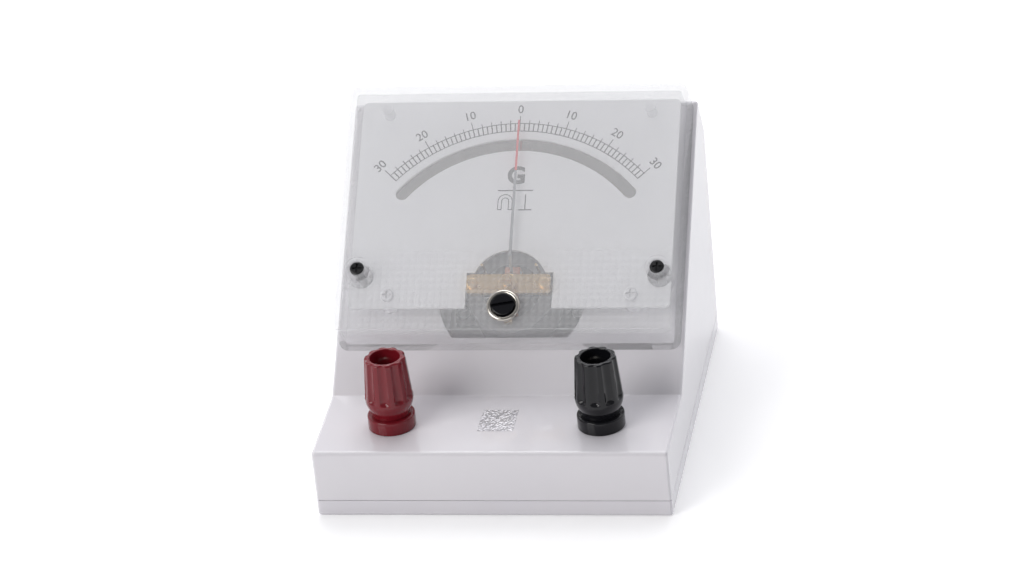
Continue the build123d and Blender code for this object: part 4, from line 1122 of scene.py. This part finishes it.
@dataclass
class FlutedCap:
    """Waisted clamp cap with round flutes that end in small notches above its belly."""

    height: float = 18.3 * MM
    foot_radius: float = 5.6 * MM
    foot_height: float = 0.9 * MM
    foot_edge: float = 0.15 * MM
    belly_radius: float = 7.0 * MM
    belly_rise: float = 5.3 * MM
    top_radius: float = 6.0 * MM
    rim: float = 0.6 * MM
    inner_rim: float = 0.35 * MM
    mouth_radius: float = 4.35 * MM
    mouth_depth: float = 5.55 * MM
    throat_radius: float = 3.3 * MM
    pocket_top: float = 9.23 * MM
    pocket_radius: float = 4.26 * MM
    recess_radius: float = 4.65 * MM
    recess_depth: float = 1.2 * MM
    flutes: int = 10
    cutter: float = 1.7 * MM
    flute_top_depth: float = 0.55 * MM
    flute_foot_depth: float = 0.95 * MM
    flute_rise: float = 5.5 * MM
    flute_round: float = 0.85 * MM
    flute_fade: float = 2.2
    flute_columns: int = 5
    waist_steps: int = 8
    side_steps: int = 18
    side_crowding: float = 1.8
    rim_start: float = 15.0
    rim_steps: int = 5
    crease: float = 28.0
    steps: int = 120

    def waist(self) -> list[Ring]:
        """Rings from the foot up to the belly.

        Returns:
            The rings.
        """
        rings = rounded(self.foot_edge, self.foot_radius - self.foot_edge, self.foot_edge, -90, 0, steps=2)
        rise = self.belly_rise - self.foot_height
        for step in range(self.waist_steps + 1):
            share = step / self.waist_steps
            out = (self.belly_radius - self.foot_radius) * math.sin(math.pi / 2 * share)
            rings.append(Ring(self.foot_height + rise * share, self.foot_radius + out))
        return rings

    def side(self) -> list[Ring]:
        """Rings up the fluted side, close together where the flutes begin, and round the rim.

        Returns:
            The rings.
        """
        shoulder = self.height - self.rim
        rise = shoulder - self.belly_rise
        rings = []
        for step in range(1, self.side_steps + 1):
            share = (step / self.side_steps) ** self.side_crowding
            lean = (self.top_radius - self.belly_radius) * share
            rings.append(Ring(self.belly_rise + rise * share, self.belly_radius + lean))
        centre = self.top_radius - self.rim
        return rings + rounded(shoulder, centre, self.rim, self.rim_start, 90, self.rim_steps)

    def inside(self) -> list[Ring]:
        """Rings from the rim down through the mouth, the throat and the bush's pocket.

        Returns:
            The rings.
        """
        mouth_floor = self.height - self.mouth_depth
        edge = self.inner_rim
        return rounded(self.height - edge, self.mouth_radius + edge, edge, 90, 180) + [
            Ring(mouth_floor, self.mouth_radius),
            Ring(mouth_floor, self.throat_radius),
            Ring(self.pocket_top, self.throat_radius),
            Ring(self.pocket_top, self.pocket_radius),
            Ring(self.recess_depth, self.pocket_radius),
            Ring(self.recess_depth, self.recess_radius),
            Ring(0.0, self.recess_radius),
        ]

    def depth(self, height: float, aside: float) -> float:
        """How deep a flute is at a height.

        Args:
            height: height above the cap's foot.
            aside: distance round the cap from the flute's middle.

        Returns:
            The depth, never below nothing.
        """
        above = height - self.flute_rise
        faded = min(1.0, above / (self.height - self.flute_rise) * self.flute_fade)
        full = self.flute_foot_depth + (self.flute_top_depth - self.flute_foot_depth) * faded
        if above < self.flute_round:
            full *= math.sqrt(max(0.0, above / self.flute_round))
        if aside >= self.cutter:
            return 0.0
        return max(0.0, full - self.cutter + math.sqrt(self.cutter**2 - aside**2))

    def columns_aside(self, co: Vector) -> int:
        """How many columns a vertex is from the middle of its flute.

        Args:
            co: the vertex's place.

        Returns:
            The number of columns.
        """
        pitch = 2 * math.pi / self.flutes
        turn = math.atan2(co.y, co.x) % pitch
        return round(abs(turn - pitch / 2) * self.steps / (2 * math.pi))

    def cut_flutes(self, rings: Sequence[Ring]) -> None:
        """Draw the outer wall inwards, ring by ring and column by column, all flutes together.

        Args:
            rings: the rings of the fluted side and the rim.
        """
        column = 2 * math.pi / self.steps
        bpy.ops.object.mode_set(mode="EDIT")
        for ring in rings:
            for aside in range(self.flute_columns):
                depth = self.depth(ring.height, aside * column * ring.radius)
                if depth <= 0.0:
                    continue
                pick(
                    lambda co: abs(co.z - ring.height) < NEAR
                    and abs(co.to_2d().length - ring.radius) < NEAR
                    and self.columns_aside(co) == aside
                )
                drawn = 1.0 - depth / ring.radius
                bpy.ops.transform.resize(value=(drawn, drawn, 1.0), center_override=(0.0, 0.0, 0.0))
        bpy.ops.object.mode_set(mode="OBJECT")

    def build(self) -> bpy.types.Object:
        """Turn the cap and cut its flutes.

        Returns:
            The cap, with its foot at the origin.
        """
        side = self.side()
        cap = turned([*self.waist(), *side, *self.inside()], self.steps)
        self.cut_flutes(side)
        smooth(cap, self.crease)
        return cap


@dataclass
class Collar:
    """Insulating collar with soft edges, a seat for the stud's flange and a spigot."""

    radius: float = 6.9 * MM
    height: float = 4.2 * MM
    top_edge: float = 0.5 * MM
    top_steps: int = 5
    foot_edge: float = 0.3 * MM
    seat_radius: float = 4.4 * MM
    seat_depth: float = 0.9 * MM
    bore: float = 3.1 * MM
    spigot_radius: float = 4.2 * MM
    spigot_length: float = 2.48 * MM

    def build(self) -> bpy.types.Object:
        """Turn the collar.

        Returns:
            The collar, standing on the origin.
        """
        seat = self.height - self.seat_depth
        foot, top = self.foot_edge, self.top_edge
        collar = turned([
            Ring(0.0, self.spigot_radius),
            *rounded(foot, self.radius - foot, foot, -90, 0),
            *rounded(self.height - top, self.radius - top, top, 0, 90, self.top_steps),
            Ring(self.height, self.seat_radius),
            Ring(seat, self.seat_radius),
            Ring(seat, self.bore),
            Ring(-self.spigot_length, self.bore),
            Ring(-self.spigot_length, self.spigot_radius),
        ])
        smooth(collar)
        return collar


@dataclass
class BindingPost:
    """One binding post, its cap and collar modelled anew with soft edges."""

    side: Side
    finishes: Finishes

    def stand_on(self, piece: bpy.types.Object, node: str, height: float) -> None:
        """Put a piece on the post's axis.

        Args:
            piece: the piece, modelled about Z.
            node: the node that it stands for.
            height: where its origin goes.
        """
        low, high = (Vector(corner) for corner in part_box(node))
        middle = (low + high) / 2
        place(piece, Matrix.Translation((middle.x, middle.y, height)))

    def build(self) -> None:
        """Dress the post's nodes and build its cap and collar."""
        kit = self.finishes
        name = self.side.value
        red = self.side is Side.RED
        plastic, wire = (kit.red, kit.red_wire) if red else (kit.black, kit.black_wire)
        shape = FlutedCap().build()
        self.stand_on(shape, f"{name}_cap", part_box(f"{name}_cap")[0][2])
        settle(shape, f"{name}_fluted_cap", plastic, f"{name}_clamp", f"{name}_post", f"{name}_cap")
        collar = Collar()
        shape = collar.build()
        self.stand_on(shape, f"{name}_collar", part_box(f"{name}_collar")[1][2] - collar.height)
        settle(shape, f"{name}_soft_collar", plastic, "stand", f"{name}_post", f"{name}_collar")
        dress(f"{name}_inner_washer", plastic)
        for node in ("stud", "cap_insert", "post_nuts"):
            dress(f"{name}_{node}", kit.nickel)
        dress(f"{name}_solder_tag", kit.tinned)
        dress(f"{name}_lead", wire)


@dataclass(frozen=True)
class Lamp:
    """A soft square lamp."""

    name: str
    at: Place
    size: float
    power: float
    tint: Colour = (1.0, 1.0, 1.0)

    def hang(self, target: Vector) -> None:
        """Hang the lamp, facing a point.

        Args:
            target: the point.
        """
        light = bpy.data.lights.new(self.name, "AREA")
        light.shape = "SQUARE"
        light.size = self.size
        light.energy = self.power
        light.color = self.tint
        lamp = bpy.data.objects.new(self.name, light)
        here = Vector(self.at)
        aim = (target - here).to_track_quat("-Z", "Y").to_matrix().to_4x4()
        lamp.matrix_world = Matrix.Translation(here) @ aim
        bpy.context.scene.collection.objects.link(lamp)


@dataclass
class Studio:
    """Pale floor, soft light and the photograph's camera."""

    azimuth: float = math.radians(10.76)
    elevation: float = math.radians(28.23)
    roll: float = math.radians(-5.51)
    distance: float = 1.4666
    target: Vector = field(default_factory=lambda: Vector((0.0225, -0.00696, 0.0527)))
    focal_px: float = 5077.4
    centre_px: tuple[float, float] = (581.4, 270.5)
    image_px: tuple[int, int] = (1024, 576)
    sensor: float = 36.0
    view_end: float = 20.0
    floor_size: float = 6.0
    floor_colour: Colour = (0.90, 0.90, 0.905)
    floor_deep: Colour = (0.8, 0.8, 0.8)
    floor_roughness: float = 0.8
    floor_glow: float = 0.3
    sky: Colour = (0.95, 0.955, 1.0)
    front_sky: float = 0.22
    back_sky: float = 0.95
    front_edge: float = -0.3
    back_edge: float = 0.6
    key: Lamp = Lamp("key", (-1.0, -1.1, 0.95), size=1.0, power=14.0, tint=(1.0, 0.985, 0.97))
    overhead: Lamp = Lamp("overhead", (-0.1, 0.85, 1.35), size=1.2, power=9.0)

    def camera(self) -> None:
        """Set the camera, aimed so that it needs no shift."""
        back = Vector((
            math.sin(self.azimuth) * math.cos(self.elevation),
            -math.cos(self.azimuth) * math.cos(self.elevation),
            math.sin(self.elevation),
        ))
        level = Vector((math.cos(self.azimuth), math.sin(self.azimuth), 0.0))
        upright = back.cross(level)
        right = math.cos(self.roll) * level + math.sin(self.roll) * upright
        upward = -math.sin(self.roll) * level + math.cos(self.roll) * upright
        aside = (self.image_px[0] / 2 - self.centre_px[0]) / self.focal_px
        down = (self.image_px[1] / 2 - self.centre_px[1]) / self.focal_px
        aim = (right * aside - upward * down - back).normalized()
        right = (right - right.dot(aim) * aim).normalized()
        facing = Matrix((right, right.cross(aim), -aim)).transposed().to_4x4()
        lens = bpy.data.cameras.new("photo_camera")
        lens.sensor_width = self.sensor
        lens.lens = self.focal_px * self.sensor / self.image_px[0]
        lens.clip_end = self.view_end
        camera = bpy.data.objects.new("photo_camera", lens)
        camera.matrix_world = Matrix.Translation(self.target + back * self.distance) @ facing
        bpy.context.scene.collection.objects.link(camera)
        bpy.context.scene.camera = camera

    def floor(self) -> None:
        """Lay the pale floor, which glows to the camera and keeps the shadow."""
        clear_selection()
        bpy.ops.mesh.primitive_plane_add(size=self.floor_size)
        floor = bpy.context.object
        floor.name = "floor"
        made = bpy.data.materials.new("pale_floor")
        made.use_nodes = True
        sheet = Sheet(made.node_tree)
        shader = made.node_tree.nodes["Principled BSDF"]
        where = sheet.add("ShaderNodeTexCoord").outputs["Object"]
        tone = sheet.spread(sheet.noise(where, scale=3.0), low=0.3, high=0.7, to_low=0.985)
        sheet.feed(shader.inputs["Base Color"], sheet.blend(tone, self.floor_deep, self.floor_colour))
        shader.inputs["Roughness"].default_value = self.floor_roughness
        path = sheet.add("ShaderNodeLightPath")
        seen = sheet.math("MAXIMUM", path.outputs["Is Camera Ray"], path.outputs["Is Glossy Ray"])
        seen = sheet.math("MAXIMUM", seen, path.outputs["Is Transmission Ray"])
        sheet.feed(shader.inputs["Emission Strength"], sheet.math("MULTIPLY", seen, self.floor_glow))
        shader.inputs["Emission Color"].default_value = (1.0, 1.0, 1.0, 1.0)
        floor.data.materials.append(made)

    def sky_light(self) -> None:
        """Light from a sky that is brighter at the back, and seen as white."""
        world = bpy.data.worlds.new("studio")
        world.use_nodes = True
        bpy.context.scene.world = world
        sheet = Sheet(world.node_tree)
        ground = world.node_tree.nodes["Background"]
        path = sheet.add("ShaderNodeLightPath")
        seen = sheet.math("MAXIMUM", path.outputs["Is Camera Ray"], path.outputs["Is Transmission Ray"])
        sheet.feed(ground.inputs["Color"], sheet.blend(seen, self.sky, (1.0, 1.0, 1.0)))
        axes = sheet.add("ShaderNodeSeparateXYZ")
        sheet.feed(axes.inputs[0], sheet.add("ShaderNodeTexCoord").outputs["Generated"])
        depth = axes.outputs["Y"]
        around = sheet.spread(depth, self.front_edge, self.back_edge, self.front_sky, self.back_sky)
        sheet.feed(ground.inputs["Strength"], sheet.math("MAXIMUM", around, seen))

    def build(self) -> None:
        """Set the whole studio."""
        self.camera()
        self.floor()
        self.sky_light()
        self.key.hang(self.target)
        self.overhead.hang(self.target)
        bpy.context.scene.view_settings.view_transform = "Standard"


def main() -> None:
    """Build the instrument, sub-assembly by sub-assembly."""
    logging.basicConfig(level=logging.INFO, format="%(name)s: %(message)s")
    panel = Panel()
    finishes = Finishes(panel.pivot)
    Stand(finishes).build()
    Meter(panel, finishes).build()
    for side in Side:
        BindingPost(side, finishes).build()
    Studio().build()
    clear_selection()


if __name__ == "__main__":
    main()
